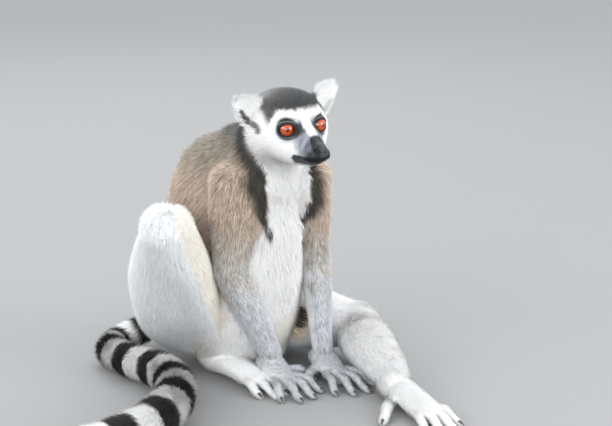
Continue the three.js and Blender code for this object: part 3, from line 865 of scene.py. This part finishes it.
def tail_marks(q, near, tone):
    """Rings of black and white that lengthen towards the dark tip, after a grey root."""
    share = near[1]
    beat = 13.4 * np.maximum(share - 0.035, 0) ** 0.93 + 0.03 * waves(q, 12, 4)
    cycle = beat % 1.0
    dark = ramp(0.0, 0.06, cycle) * (1 - ramp(0.5, 0.56, cycle))
    dark = np.maximum(dark, ramp(0.955, 0.97, share))
    colour = mix(np.tile(tone["white"], (len(q), 1)), tone["ring"], dark)
    return mix(colour, tone["grey"], 1 - ramp(0.03, 0.05, share))


PAINTERS = {"head": head_marks, "ear": ear_marks, "trunk": trunk_marks, "neck": trunk_marks, "tail": tail_marks}
# How flecked the coat of each kind of part is.
FLECKS = {
    "head": 0.5, "ear": 0.1, "trunk": 0.8, "neck": 0.8, "tail": 0.4, "hand": 0.7, "forearm": 1.0, "upper_arm": 1.0,
    "thigh": 0.55, "shank": 0.4, "foot": 0.1,
}


def markings(q, tone):
    """The colour of the coat at each point, its parts' colours mixed by how much the point belongs to each, then the
    throat, the dark bands, the spots and the painted shade in the ears' folds over them. Also how flecked the coat is
    there."""
    found, share = survey(q)
    colour = np.zeros((len(q), 3))
    fleck = np.zeros(len(q))
    for name, part in PARTS.items():
        some = share[name] > 0.004
        if not some.any():
            continue
        near = [column[some] for column in found[name]]
        if part.kind in PAINTERS:
            made = PAINTERS[part.kind](q[some], near, tone)
        else:
            made = limb_marks(name, near, tone, q[some])
        colour[some] += made * share[name][some, None]
        fleck[some] += FLECKS[part.kind] * share[name][some]
    body = share["trunk"] + share["neck"] + share["upper_arm_right"] + share["upper_arm_left"]
    rag = 1.6 * waves(q, 5, 8) + 1.2 * waves(q, 14, 12)
    places = {which: band_place(q, which) for which in SIDES}
    throat = np.minimum(*(ramp(0.8, -0.8, places[which][0] + 0.6 * rag) for which in SIDES)) * ramp(124, 134, q[:, 2])
    throat *= 1 - ramp(190, 205, q[:, 2]) * ramp(-28, -34, to_head(q)[:, 1] + 0.5 * rag)
    colour = mix(colour, tone["white"], throat * body)
    for which in SIDES:
        out, width = places[which]
        out = np.where(q[:, 1] > -38, FAR, out)
        dark = ramp(-1.0, 1.4, out + 0.6 * rag) * ramp(1.3, 0.55, (out + rag) / np.maximum(width, 1.0))
        colour = mix(colour, tone["band"], 0.95 * dark * ramp(0.5, 3, width) * body)
    for gland in GLANDS:
        spot = norm((q - vec(*gland)) * vec(1, 1, 0.5))
        colour = mix(colour, tone["black"], 0.9 * ramp(3.6, 2.2, spot))
    stain = norm((q - vec(28, -52, 44)) * vec(1, 1, 0.6))
    colour = mix(colour, tone["stain"], 0.6 * ramp(17, 9, stain))
    spot = norm((q - vec(33, -52, 48)) * vec(1.2, 1.0, 0.6))
    colour = mix(colour, tone["black"], 0.9 * ramp(9.5, 8, spot))
    # Painted shade: black in the fold of each ear and in front of it.
    colour = mix(colour, tone["black"], 0.92 * ear_fold_shade(q, found, share))
    pale = ramp(0.55, 0.75, colour.min(1))
    return colour, fleck * (1 - 0.9 * pale)


# ---------------------------------------------------------------- materials


def new_material(name, **values):
    """A material, its node tree and its Principled shader, whose inputs are given with _ for each space."""
    material = bpy.data.materials.new(name)
    material.use_nodes = True
    tree = material.node_tree
    shader = next(n for n in tree.nodes if n.type == "BSDF_PRINCIPLED")
    for label, value in values.items():
        shader.inputs[label.replace("_", " ")].default_value = value
    return material, tree, shader


def add(tree, kind, inputs=None, **settings):
    """A new node with its settings, and then the values of its inputs."""
    node = tree.nodes.new(kind)
    for name, value in settings.items():
        setattr(node, name, value)
    for name, value in (inputs or {}).items():
        node.inputs[name].default_value = value
    return node


def wire(tree, *wires):
    """Links, each as [node, its output, node, its input]."""
    for source, output, target, into in wires:
        tree.links.new(source.outputs[output], target.inputs[into])


def multiply(tree):
    return add(tree, "ShaderNodeMix", {"Factor": 1.0}, data_type="RGBA", blend_type="MULTIPLY")


def noisy_colour(tree, shader, scale, colours):
    """Object-space noise that sets the base colour between two colours."""
    place = add(tree, "ShaderNodeTexCoord")
    noise = add(tree, "ShaderNodeTexNoise", {"Scale": scale})
    tones = add(tree, "ShaderNodeValToRGB")
    for element, colour in zip(tones.color_ramp.elements, colours):
        element.color = (*colour, 1)
    wire(tree, (place, "Object", noise, "Vector"), (noise, "Fac", tones, "Fac"), (tones, "Color", shader, "Base Color"))


def hair_grain():
    """A shared group: takes a colour, and gives it back with fine streaks and patches, with their height."""
    name = "hair_grain"
    if name in bpy.data.node_groups:
        return bpy.data.node_groups[name]
    group = bpy.data.node_groups.new(name, "ShaderNodeTree")
    face = group.interface
    for label, kind, value in (
        ("Colour", "NodeSocketColor", (1, 1, 1, 1)), ("Scale", "NodeSocketFloat", 900.0),
        ("Amount", "NodeSocketFloat", 0.2),
    ):
        face.new_socket(label, in_out="INPUT", socket_type=kind).default_value = value
    face.new_socket("Colour", in_out="OUTPUT", socket_type="NodeSocketColor")
    face.new_socket("Height", in_out="OUTPUT", socket_type="NodeSocketFloat")
    inside, outside = add(group, "NodeGroupInput"), add(group, "NodeGroupOutput")
    place = add(group, "ShaderNodeTexCoord")
    fine = add(group, "ShaderNodeTexNoise", {"Detail": 4.0})
    broad = add(group, "ShaderNodeTexNoise", {"Scale": 60.0})
    both = add(group, "ShaderNodeMath", {1: 0.35}, operation="MULTIPLY_ADD")
    shade = add(group, "ShaderNodeMapRange", {"From Min": 0.4, "From Max": 0.95})
    low = add(group, "ShaderNodeMath", {0: 1.0}, operation="SUBTRACT")
    blend = multiply(group)
    wire(
        group,
        (place, "Object", fine, "Vector"), (place, "Object", broad, "Vector"), (inside, "Scale", fine, "Scale"),
        (broad, "Fac", both, 0), (fine, "Fac", both, 2), (both, 0, shade, "Value"), (inside, "Amount", low, 1),
        (low, 0, shade, "To Min"), (inside, "Colour", blend, "A"), (shade, "Result", blend, "B"),
        (blend, "Result", outside, "Colour"), (fine, "Fac", outside, "Height"),
    )
    return group


def marked_material(name, grain, amount, bump, **values):
    """A finish that takes its colour from the mesh's markings, through the shared grain."""
    if name in bpy.data.materials:
        return bpy.data.materials[name]
    material, tree, shader = new_material(name, Sheen_Roughness=0.5, **values)
    colour = add(tree, "ShaderNodeAttribute", attribute_name="marking")
    group = add(tree, "ShaderNodeGroup", {"Scale": grain, "Amount": amount}, node_tree=hair_grain())
    raised = add(tree, "ShaderNodeBump", {"Strength": bump, "Distance": 0.0004})
    wire(
        tree,
        (colour, "Color", group, "Colour"), (group, "Colour", shader, "Base Color"),
        (group, "Height", raised, "Height"), (raised, "Normal", shader, "Normal"),
    )
    return material


def horn_material(name, colour, roughness):
    """Dark horn in two tones."""
    material, tree, shader = new_material(name, Roughness=roughness)
    noisy_colour(tree, shader, 700.0, [[c * 0.6 for c in colour], [min(1, c * 1.7) for c in colour]])
    return material


def eye_material(name, iris):
    """Rings of colour about the gaze, broken by fibres that run out from the pupil, under a wet clear coat."""
    material, tree, shader = new_material(
        name, Roughness=0.45, Specular_IOR_Level=0.0, Coat_Weight=1.0, Coat_IOR=1.7, Coat_Roughness=0.02)
    ring = add(tree, "ShaderNodeAttribute", attribute_name="ring")
    polar = add(tree, "ShaderNodeUVMap", uv_map="polar")
    stretch = add(tree, "ShaderNodeMapping", {"Scale": (90, 6, 1)})
    fibre = add(tree, "ShaderNodeTexNoise", {"Scale": 1.0, "Detail": 3.0})
    tones = add(tree, "ShaderNodeValToRGB")
    pupil = (0.004, 0.003, 0.003)
    stops = [
        (0.0, pupil), (0.16, pupil), (0.19, [c * 0.32 for c in iris]), (0.34, iris),
        (0.62, [min(1, c * 1.15) for c in iris]), (0.84, [c * 0.75 for c in iris]), (0.93, [c * 0.1 for c in iris]),
        (1.0, (0.02, 0.013, 0.01)),
    ]
    row = tones.color_ramp
    while len(row.elements) < len(stops):
        row.elements.new(0.5)
    for element, (at, colour) in zip(row.elements, stops):
        element.position, element.color = at, (*colour, 1)
    spread = add(tree, "ShaderNodeMapRange", {"From Min": 0.3, "From Max": 0.7, "To Min": 0.55})
    blend = multiply(tree)
    wire(
        tree,
        (polar, "UV", stretch, "Vector"), (stretch, "Vector", fibre, "Vector"), (ring, "Fac", tones, "Fac"),
        (fibre, "Fac", spread, "Value"), (tones, "Color", blend, "A"), (spread, "Result", blend, "B"),
        (blend, "Result", shader, "Base Color"),
    )
    return material


# ---------------------------------------------------------------- what a user may change


def colour_setting(name, description, default):
    return bpy.props.FloatVectorProperty(
        name=name, description=description, default=default, subtype="COLOR", size=3, min=0, max=1)


def share_setting(name, description, low, high):
    return bpy.props.FloatProperty(
        name=name, description=description, default=1.0, min=low, max=high, subtype="FACTOR")


class CoatColours(bpy.types.PropertyGroup):
    white: colour_setting("White", "Face, throat, belly, inner limbs and pale rings", linear(244, 244, 243))
    cream: colour_setting("Cream", "Shin and lower belly", linear(243, 234, 214))
    brown: colour_setting("Brown", "Back and shoulders", linear(203, 182, 164))
    back: colour_setting("Upper back", "Nape and upper back", linear(142, 139, 127))
    grey: colour_setting("Grey", "Rump and root of the tail", linear(200, 195, 187))
    limb: colour_setting("Arm grey", "Arms and hands", linear(205, 208, 213))
    thigh: colour_setting("Thigh grey", "Outer side of the thigh and shank", linear(240, 245, 249))
    stain: colour_setting("Stain", "Hair at the root of the left thigh", linear(226, 190, 130))
    crown: colour_setting("Crown", "Cap and nape", linear(80, 81, 82))
    band: colour_setting("Band", "Dark band at each side of the throat", linear(54, 54, 52))
    muzzle: colour_setting("Muzzle grey", "Sides of the muzzle", linear(128, 133, 143))
    dusk: colour_setting("Dark muzzle grey", "Muzzle beside the nose", linear(78, 81, 88))
    # In the fold of each ear this black is painted shade.
    black: colour_setting("Black", "Skin round the eyes, on the muzzle and in the ears", linear(20, 20, 22))
    ring: colour_setting("Tail rings", "Dark rings of the tail", linear(48, 47, 45))
    iris: colour_setting("Iris", "Colour of the eyes", linear(186, 68, 8))


class CoatSizes(bpy.types.PropertyGroup):
    density: share_setting("Density", "Share of the full number of tufts", 0.02, 1.1)
    length: share_setting("Length", "Tuft length against the standard", 0.3, 1.5)
    lift: share_setting("Lift", "How far the tufts stand off the skin", 0.2, 1.5)


class StageSettings(bpy.types.PropertyGroup):
    lens: bpy.props.FloatProperty(name="Lens", description="Focal length", default=85.0, unit="CAMERA", min=10)
    power: bpy.props.FloatProperty(name="Lights", description="Strength of all lights", default=40.0, unit="POWER")
    floor: colour_setting("Floor", "Colour of the floor", (0.27, 0.27, 0.268))


def palette():
    tones = bpy.context.scene.lemur_colours
    return {name: np.array(getattr(tones, name)) for name in CoatColours.__annotations__}


# ---------------------------------------------------------------- the pieces


class LEMUR_OT_skin(bpy.types.Operator):
    """One skin over all the flesh, drawn round the body's field and cut finer at the face"""

    bl_idname = "lemur.skin"
    bl_label = "Skin"

    def execute(self, context):
        lines = grid_lines()
        v, quads = net(lines, field_on(lines))
        tris = np.concatenate([quads[:, [0, 1, 2]], quads[:, [0, 2, 3]]])
        v = settle(v, 1)
        v = settle(relax(v, tris), 2, 1.0)
        chest = (survey(v)[1]["trunk"] > 0.9) & (v[:, 1] < -40) & (np.abs(v[:, 2] - 135) < 40)
        for _ in range(14):
            v[chest] = relax(v, tris, 0.8)[chest]
        for closer in (False, True):
            p = mirrored(to_head(v))
            wanted = (p[:, 1] > 0) & (norm(p - vec(0, 18, -8)) < 26)
            if closer:
                wanted = (norm(p - vec(EYE["side"], 5, 0)) < 11) & (p[:, 1] > 0)
                wanted |= norm(p - vec(0, 38, -18)) < 10
            before = len(v)
            v, tris = split(v, tris, wanted)
            fresh = np.r_[np.nonzero(wanted)[0], before : len(v)]
            v[fresh] = settle(v[fresh], 2, 0.8)
        order = np.argsort(tris.min(1), kind="stable")
        # Painted shade: the skin takes the markings darkened to 0.9, as in the shade under the coat.
        colour = markings(v, palette())[0] * 0.9
        flesh = [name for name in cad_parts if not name.startswith("eye_")]
        finish = marked_material(
            "short_coat", 1100.0, 0.3, 0.5, Roughness=0.72, Specular_IOR_Level=0.3, Sheen_Weight=0.1)
        make_mesh("skin", v, [tris[order]], finish, colour, flesh)
        return {"FINISHED"}


class LEMUR_OT_eyes(bpy.types.Operator):
    """Two eyeballs: a ball of radius R whose clear front swells by 0.9 mm where the angle from the gaze is under
    45 degrees, as rings of points at even angles"""

    bl_idname = "lemur.eyes"
    bl_label = "Eyes"

    def execute(self, context):
        material = eye_material("iris", tuple(context.scene.lemur_colours.iris))
        for which in SIDES:
            middle, axes = eye_frame(SIGN[which], EYE["gaze"][which])
            rings, around = 43, 64
            angle = np.linspace(0, math.pi, rings + 2)[1:-1, None]
            turn = np.linspace(0, 2 * math.pi, around, endpoint=False)[None]
            radius = EYE["radius"] - 0.1 + 0.9 * np.clip(1 - (angle / 0.8) ** 2, 0, 1) ** 1.5
            flat, ahead = np.sin(angle), np.cos(angle) + 0 * turn
            shape = np.stack([flat * np.cos(turn), ahead, flat * np.sin(turn)], -1)
            ball = (radius[..., None] * shape).reshape(-1, 3)
            poles = np.array([[0, EYE["radius"] + 0.8, 0], [0, -EYE["radius"] + 0.1, 0]])
            points = from_head(middle + np.concatenate([ball, poles]) @ axes)
            quads, caps = ring_faces(rings, around)
            if np.linalg.det(axes) < 0:
                quads, caps = quads[:, ::-1], caps[:, ::-1]
            made = make_mesh(f"eyeball_{which}", points, [quads, caps], material, None, [f"eye_{which}"])
            mesh = made.data
            tilt = np.r_[np.repeat(angle[:, 0], around), 0, math.pi]
            ring = mesh.attributes.new("ring", "FLOAT", "POINT")
            ring.data.foreach_set("value", np.clip(tilt / 0.82, 0, 1).astype(np.float32))
            round_it = np.r_[np.tile(turn[0], rings), 0, 0] / (2 * math.pi)
            add_map(mesh, "polar", np.column_stack([round_it, tilt / math.pi]))
        return {"FINISHED"}


class LEMUR_OT_nails(bpy.types.Operator):
    """A nail on every digit: a tapering horn, 0.55 as deep as wide, whose line curves down from the digit's end"""

    bl_idname = "lemur.nails"
    bl_label = "Nails"

    def execute(self, context):
        rings, around = 8, 10
        share = np.linspace(0, 1, rings)
        turn = np.linspace(0, 2 * math.pi, around, endpoint=False)
        up = vec(0, 0, 1)
        points, quads, caps = [], [], []
        digits = [
            (shape, size, bones, way) for shape, size in ((HAND, 1.0), (FOOT, 1.1)) for which in SIDES
            for bones, way in ray_lines(shape, which)[3]]
        for number, (shape, size, bones, way) in enumerate(digits):
            side = vec(-way[1], way[0], 0)
            top = bones[-1] + way * shape["radius"] * 0.3 + up * 1.5
            line = top + np.outer(share * 5.2 * size, way) + np.outer(0.5 - 2.6 * share**2, up)
            line[:, 2] = np.maximum(line[:, 2], 0.7)
            half = 1.55 * size * (1 - share**1.8 * 0.93)[:, None]
            round_it = side * (half * np.cos(turn))[..., None] + up * (half * 0.55 * np.sin(turn))[..., None]
            ring = line[:, None] + round_it
            horn = np.concatenate([ring.reshape(-1, 3), line[:1] - way * 0.5, line[-1:] + way * 0.25])
            horn[:, 2] = np.maximum(horn[:, 2], 0.1)
            points.append(horn)
            for kept, new in zip((quads, caps), ring_faces(rings, around, number * (rings * around + 2))):
                kept.append(new)
        make_mesh(
            "nails", np.concatenate(points), [np.concatenate(quads)[:, ::-1], np.concatenate(caps)[:, ::-1]],
            horn_material("nail_horn", (0.05, 0.046, 0.045), 0.4), None)
        return {"FINISHED"}


# The coat's pieces: [name, kinds of part, side, slot, number of pieces that share them].
GROUPS = [
    ("coat_head", ("head", "ear"), None, "white_coat", 2),
    ("coat_trunk", ("trunk", "neck"), None, "brown_coat", 2),
    ("coat_arms", ("upper_arm", "forearm"), None, "grey_coat", 1),
    ("coat_hands", ("hand",), None, "grey_coat", 1),
    ("coat_leg_right", ("thigh", "shank"), "right", "grey_coat", 1),
    ("coat_leg_left", ("thigh", "shank"), "left", "white_coat", 1),
    ("coat_feet", ("foot",), None, "white_coat", 1),
    ("coat_tail", ("tail",), None, "ringed_coat", 1),
]


def tuft_roots(v, tris, normal, per_mm2, rng):
    """Roots at even steps of the running sum of each triangle's area times the density there, with the skin's
    normal at each."""
    a, b, c = (v[tris[:, k]] for k in range(3))
    area = norm(np.cross(b - a, c - a)) / 2
    total = np.cumsum(area * per_mm2)
    count = int(total[-1])
    at = (np.arange(count) + rng.uniform(0, 1, count)) * total[-1] / count
    corners = tris[np.searchsorted(total, at)]
    r, s = rng.uniform(size=(2, count))
    r = np.sqrt(r)
    weight = np.column_stack([1 - r, r * (1 - s), r * s])[..., None]
    return (v[corners] * weight).sum(1), unit((normal[corners] * weight).sum(1))


# The faces of a tuft, and where its points lie in its patch of the OFBake map.
BLADE = np.array([(0, 2, 1), (0, 1, 3), (1, 2, 3), (2, 0, 3)])
PATCH = np.array([(0, 0), (1, 0), (0.5, 0.3), (0.5, 1)]) * 0.003
MOST_TUFTS = 49700  # in one piece
BURIED = 0.6  # how far a tuft's root lies under the skin
# Painted shade along a tuft: how light it is at its three root points, darker deep in the coat, and at its tip.
ROOT_TO_TIP_SHADE = vec(0.66, 0.66, 0.72, 1.05)


def tufts(root, normal, way, long, high, wide, rng):
    """Closed spikes of three points at the root and one at the tip, which runs `long` along `way` and stands
    `high` over the skin. With them, the direction that each point is lit from, which is mostly the skin's."""
    side = np.cross(normal, way)
    along = np.sqrt(np.maximum(long**2 - high**2, (0.35 * long) ** 2))
    tip = root + way * along[:, None] + normal * high[:, None]
    tip += side * (rng.normal(0, 0.09, len(root)) * long)[:, None]
    base = root - normal * BURIED
    w = (wide / 2)[:, None]
    points = np.stack([base - side * w, base + side * w, base + normal * w * 1.2, tip], 1)
    points[..., 2] = np.maximum(points[..., 2], 0.12)
    lit = np.stack([normal - side * 0.7, normal + side * 0.7, normal, normal + way * 0.3], 1)
    return points, unit(lit)


class LEMUR_OT_coat(bpy.types.Operator):
    """The coat: tufts rooted evenly over the skin, laid along each part from the head outwards, in pieces"""

    bl_idname = "lemur.coat"
    bl_label = "Coat"

    def execute(self, context):
        rng = np.random.default_rng(SEED)
        tone, sizes = palette(), context.scene.lemur_coat
        mesh = bpy.data.objects["skin"].data
        v = np.zeros(len(mesh.vertices) * 3, np.float32)
        mesh.vertices.foreach_get("co", v)
        v = v.reshape(-1, 3).astype(float) / MM
        tris = np.zeros(len(mesh.polygons) * 3, np.int32)
        mesh.polygons.foreach_get("vertices", tris)
        tris = tris.reshape(-1, 3)
        normal = normals_of(v, tris)
        _, share = survey(v[tris].mean(1))
        table = np.array([COAT[part.kind] for part in PARTS.values()])
        density = np.array(list(share.values())).T @ table[:, 3]
        middle = to_head(v[tris].mean(1))
        density *= 1 + 0.6 * share["head"] * ramp(-12, 6, middle[:, 1])
        density *= sizes.density * 1.0
        root, up = tuft_roots(v, tris, normal, density, rng)
        found, share = survey(root)
        names = list(PARTS)
        weight = np.array([share[name] for name in names]).T
        depth, long, wide, _ = (weight @ table).T
        way = sum(weight[:, i, None] * self.lie(name, found[name], root) for i, name in enumerate(names))
        way += 0.08 * np.column_stack([waves(root, 11, 21 + i) for i in range(3)])
        way += rng.normal(0, 0.07, way.shape)
        way = unit(way - up * dot(way, up)[:, None])
        p = to_head(root)
        head = share["head"]
        thin = face_depth(p[:, 1]) / 4.3
        long *= 1 + head * (0.25 + 0.8 * thin - 1)
        depth *= 1 + head * (thin - 1)
        wide *= 1 - 0.25 * head * ramp(-14, 4, p[:, 1])
        near_eye = norm(mirrored(p) - eye_frame(1)[0])
        long *= 1 - 0.5 * head * ramp(15, 11, near_eye)
        rim = share["ear_right"] + share["ear_left"]
        on_right = share["ear_right"] > share["ear_left"]
        turned = np.where(on_right, found["ear_right"][2], found["ear_left"][2])
        edge = rim * ramp(0.55, 0.9, np.abs(np.cos(turned)))
        long *= 1 + 0.5 * edge
        depth *= 1 + 1.2 * edge
        bare = self.bare(p, head, found, share, root)
        kept = rng.uniform(size=len(root)) > bare
        long *= rng.uniform(0.72, 1.08, len(root)) * sizes.length
        high = np.minimum(depth * rng.uniform(0.55, 1.02, len(root)) * sizes.lift, 0.8 * long)
        wide *= rng.uniform(0.75, 1.2, len(root))
        points, facing = tufts(root, up, way, long, high, wide, rng)
        facing = unit(facing + (rim * 0.9)[:, None, None] * vec(-0.3, -0.3, 0.9))
        colour, fleck = markings(root + way * (0.5 * long)[:, None], tone)
        shade = 1 + rng.normal(0, 1, len(root)) * (0.04 + 0.24 * fleck)
        dark = rng.uniform(size=len(root)) < 0.2 * fleck
        shade = np.where(dark, shade * 0.5, shade) * (1 + 0.2 * fleck * waves(root, 3.4, 51))
        # Painted shade: each tuft darkened towards its root, on every coat and more where it is flecked.
        light = 1 + (ROOT_TO_TIP_SHADE - 1) * (0.4 + 0.9 * fleck[:, None])
        paint = np.clip(colour[:, None] * (shade[:, None] * light)[..., None], 0.004, 0.94)
        kind = np.array([PARTS[name].kind for name in names])
        side = np.array([name.rsplit("_", 1)[-1] for name in names])
        main = weight.argmax(1)
        along, around = (
            np.array([found[name][column] for name in names])[main, np.arange(len(root))] for column in (1, 2))
        material = marked_material(
            "coat_hair", 1500.0, 0.12, 0.1, Roughness=0.7, Specular_IOR_Level=0.12, Sheen_Weight=0.08)
        for name, kinds, which, slot, pieces in GROUPS:
            ours = np.isin(kind, kinds) & ((side == which) | (which is None))
            mine = np.nonzero(ours[main] & kept)[0]
            order = mine[np.argsort(root[mine, 1], kind="stable")]
            for number, some in enumerate(np.array_split(order, pieces)):
                if len(some) > MOST_TUFTS:
                    some = np.sort(rng.permutation(some)[:MOST_TUFTS])
                label = f"{name}_{number + 1}" if pieces > 1 else name
                self.piece(
                    label, points[some], facing[some], paint[some], main[some], around[some], along[some], ours,
                    material, slot)
        return {"FINISHED"}

    def lie(self, name, near, root):
        """The way the hair lies on each part: down the limbs, back from the nose, out along the ears."""
        kind = PARTS[name].kind
        way = near[3]
        if kind == "trunk":
            return np.tile(vec(0, 0.3, -1), (len(root), 1))
        if kind == "neck":
            return -way
        if kind == "tail":
            return way + near[4] * 0.1
        if kind == "thigh":
            return way + 2.6 * np.clip(way[:, 2:] + 0.05, 0, 1) * vec(0, 0.35, -1.6)
        return way + vec(0, 0, -0.2) * (kind == "upper_arm")

    def bare(self, p, head, found, share, root):
        """The share of tufts left out: on the nose, inside the eye openings and in the ears' hollows."""
        middle, axes = eye_frame(1)
        x, y, z = ((mirrored(p) - middle) @ axes.T).T
        ring = np.sqrt((x / 7.3) ** 2 + (z / 5.9) ** 2)
        lids = ramp(1.7, 1.35, ring) * (y > -2)
        nose = 1 - ramp(6.0, 8.0, norm(p - vec(*NOSE["place"])))
        lips = (1 - ramp(0.8, 1.6, np.abs(p[:, 2] + 24.2))) * (p[:, 1] > 11)
        face = np.maximum.reduce([lids, nose, lips]) * (head > 0.3)
        under = 1 - ramp(0.5, 0.9, root[:, 2])
        return np.maximum.reduce([face, 0.85 * ear_fold_shade(root, found, share), under])

    def piece(self, name, points, facing, paint, main, around, along, ours, material, slot):
        """One mesh of tufts. Its map lays the parts side by side, round each part across and along it upwards."""
        tris = (np.arange(len(points))[:, None, None] * 4 + BLADE).reshape(-1, 3)
        made = make_mesh(
            name, points.reshape(-1, 3), [tris], material, paint.reshape(-1, 3), (), facing.reshape(-1, 3))
        present = [i for i in np.nonzero(ours)[0] if (main == i).any()]
        room = np.array([(main == i).sum() for i in present], float)
        room /= room.sum()
        left = np.r_[0, np.cumsum(room)]
        rank = np.zeros(len(ours), int)
        rank[present] = np.arange(len(present))
        part = rank[main]
        u = left[part] + (0.5 + around / (2 * math.pi)) * (room[part] - 0.004)
        at = np.column_stack([u, np.clip(along, 0, 1) * 0.996])
        add_map(made.data, "OFBake", (at[:, None] + PATCH).reshape(-1, 2))


# The camera's own axes, and its place along them from the origin, in millimetres.
CAMERA_AXES = vec(0.6428, -0.7660, 0), vec(0.1853, 0.1555, 0.9703), vec(-0.7433, -0.6237, 0.2419)
CAMERA_PLACE = 67.27, 133.64, 1313.64
# Area lights that face one point: [name, place and size in metres, share of the power].
LIT_POINT = vec(-0.03, -0.05, 0.14)
LIGHTS = (
    ("key", (-1.9, 0.35, 1.0), (2.0, 0.5), 0.6), ("front", (-1.75, -1.5, 0.42), (1.6, 0.9), 0.54),
    ("fill", (0.6, -1.9, 0.6), (1.6, 1.2), 0.74), ("rim", (0.9, 1.3, 1.6), (1.0, 1.0), 0.32),
)
SKY = {"Color": (0.93, 0.96, 1.0, 1), "Strength": 1.5}
FLOOR_RINGS = 400, 1500, 6000  # their radii


def stand(name, data, axes, place):
    """A camera or a light whose own x, y and z are the given axes, at a place in metres."""
    made = bpy.data.objects.new(name, data)
    bpy.context.scene.collection.objects.link(made)
    turned = Matrix(np.column_stack(axes).tolist()).to_4x4()
    turned.translation = place
    made.matrix_world = turned
    return made


class LEMUR_OT_stage(bpy.types.Operator):
    """A pale level floor, soft lights, and the camera"""

    bl_idname = "lemur.stage"
    bl_label = "Stage"

    def execute(self, context):
        scene = context.scene
        settings = scene.lemur_stage
        data = bpy.data.cameras.new("camera")
        data.lens, data.sensor_width = settings.lens, 36.0
        data.clip_start, data.clip_end = 0.05, 50
        right, up, back = CAMERA_AXES
        across, high, away = CAMERA_PLACE
        scene.camera = stand("camera", data, CAMERA_AXES, (back * away + right * across + up * high) * MM)
        self.floor(settings)
        self.lights(scene, settings)
        scene.view_settings.view_transform = "Standard"
        return {"FINISHED"}

    def floor(self, settings):
        """A disc in rings, level everywhere."""
        around = 96
        turn = np.linspace(0, 2 * math.pi, around, endpoint=False)
        radius = vec(*FLOOR_RINGS)[:, None]
        ring = np.stack([radius * np.cos(turn), radius * np.sin(turn), 0 * radius * turn], -1).reshape(-1, 3)
        points = np.concatenate([ring, [(0, 0, 0)]])
        quads, caps = ring_faces(len(FLOOR_RINGS), around)
        material, tree, shader = new_material("floor_paint", Roughness=0.8)
        noisy_colour(tree, shader, 3.0, [[c * share for c in settings.floor] for share in (0.97, 1.0)])
        mesh = bpy.data.meshes.new("floor")
        mesh.from_pydata((points * MM).tolist(), [], quads.tolist() + caps[:around].tolist())
        mesh.materials.append(material)
        floor = bpy.data.objects.new("floor", mesh)
        bpy.context.scene.collection.objects.link(floor)

    def lights(self, scene, settings):
        """A large key light high on the camera's left, a wide one low beside the camera that shows in the eyes, a
        broad fill on the right, one from behind, and a pale sky."""
        for name, place, size, share in LIGHTS:
            data = bpy.data.lights.new(name, "AREA")
            data.shape = "RECTANGLE"
            data.energy, data.size, data.size_y = settings.power * share, *size
            back = unit(vec(*place) - LIT_POINT)
            side = unit(np.cross(vec(0, 0, 1), back))
            stand(name, data, (side, np.cross(back, side), back), place)
        world = bpy.data.worlds.new("studio")
        world.use_nodes = True
        sky = next(n for n in world.node_tree.nodes if n.type == "BACKGROUND")
        for label, value in SKY.items():
            sky.inputs[label].default_value = value
        scene.world = world


class LEMUR_PT_panel(bpy.types.Panel):
    """The lemur's settings and pieces in the sidebar"""

    bl_label = "Lemur"
    bl_idname = "LEMUR_PT_panel"
    bl_space_type = "VIEW_3D"
    bl_region_type = "UI"
    bl_category = "Lemur"

    def draw(self, context):
        for group in ("lemur_colours", "lemur_coat", "lemur_stage"):
            box = self.layout.box()
            settings = getattr(context.scene, group)
            for name in settings.__annotations__:
                box.prop(settings, name)
        for operator in OPERATORS:
            self.layout.operator(operator.bl_idname)


GROUPS_OF_SETTINGS = {"lemur_colours": CoatColours, "lemur_coat": CoatSizes, "lemur_stage": StageSettings}
OPERATORS = (LEMUR_OT_skin, LEMUR_OT_eyes, LEMUR_OT_nails, LEMUR_OT_coat, LEMUR_OT_stage)


def register():
    for kind in (*GROUPS_OF_SETTINGS.values(), *OPERATORS, LEMUR_PT_panel):
        bpy.utils.register_class(kind)
    for name, kind in GROUPS_OF_SETTINGS.items():
        setattr(bpy.types.Scene, name, bpy.props.PointerProperty(type=kind))


def unregister():
    for name in GROUPS_OF_SETTINGS:
        delattr(bpy.types.Scene, name)
    for kind in (LEMUR_PT_panel, *reversed(OPERATORS), *reversed(GROUPS_OF_SETTINGS.values())):
        bpy.utils.unregister_class(kind)


def main():
    register()
    for operator in OPERATORS:
        name = operator.bl_idname.split(".")[1]
        getattr(bpy.ops.lemur, name)()
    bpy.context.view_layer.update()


if __name__ == "__main__":
    main()
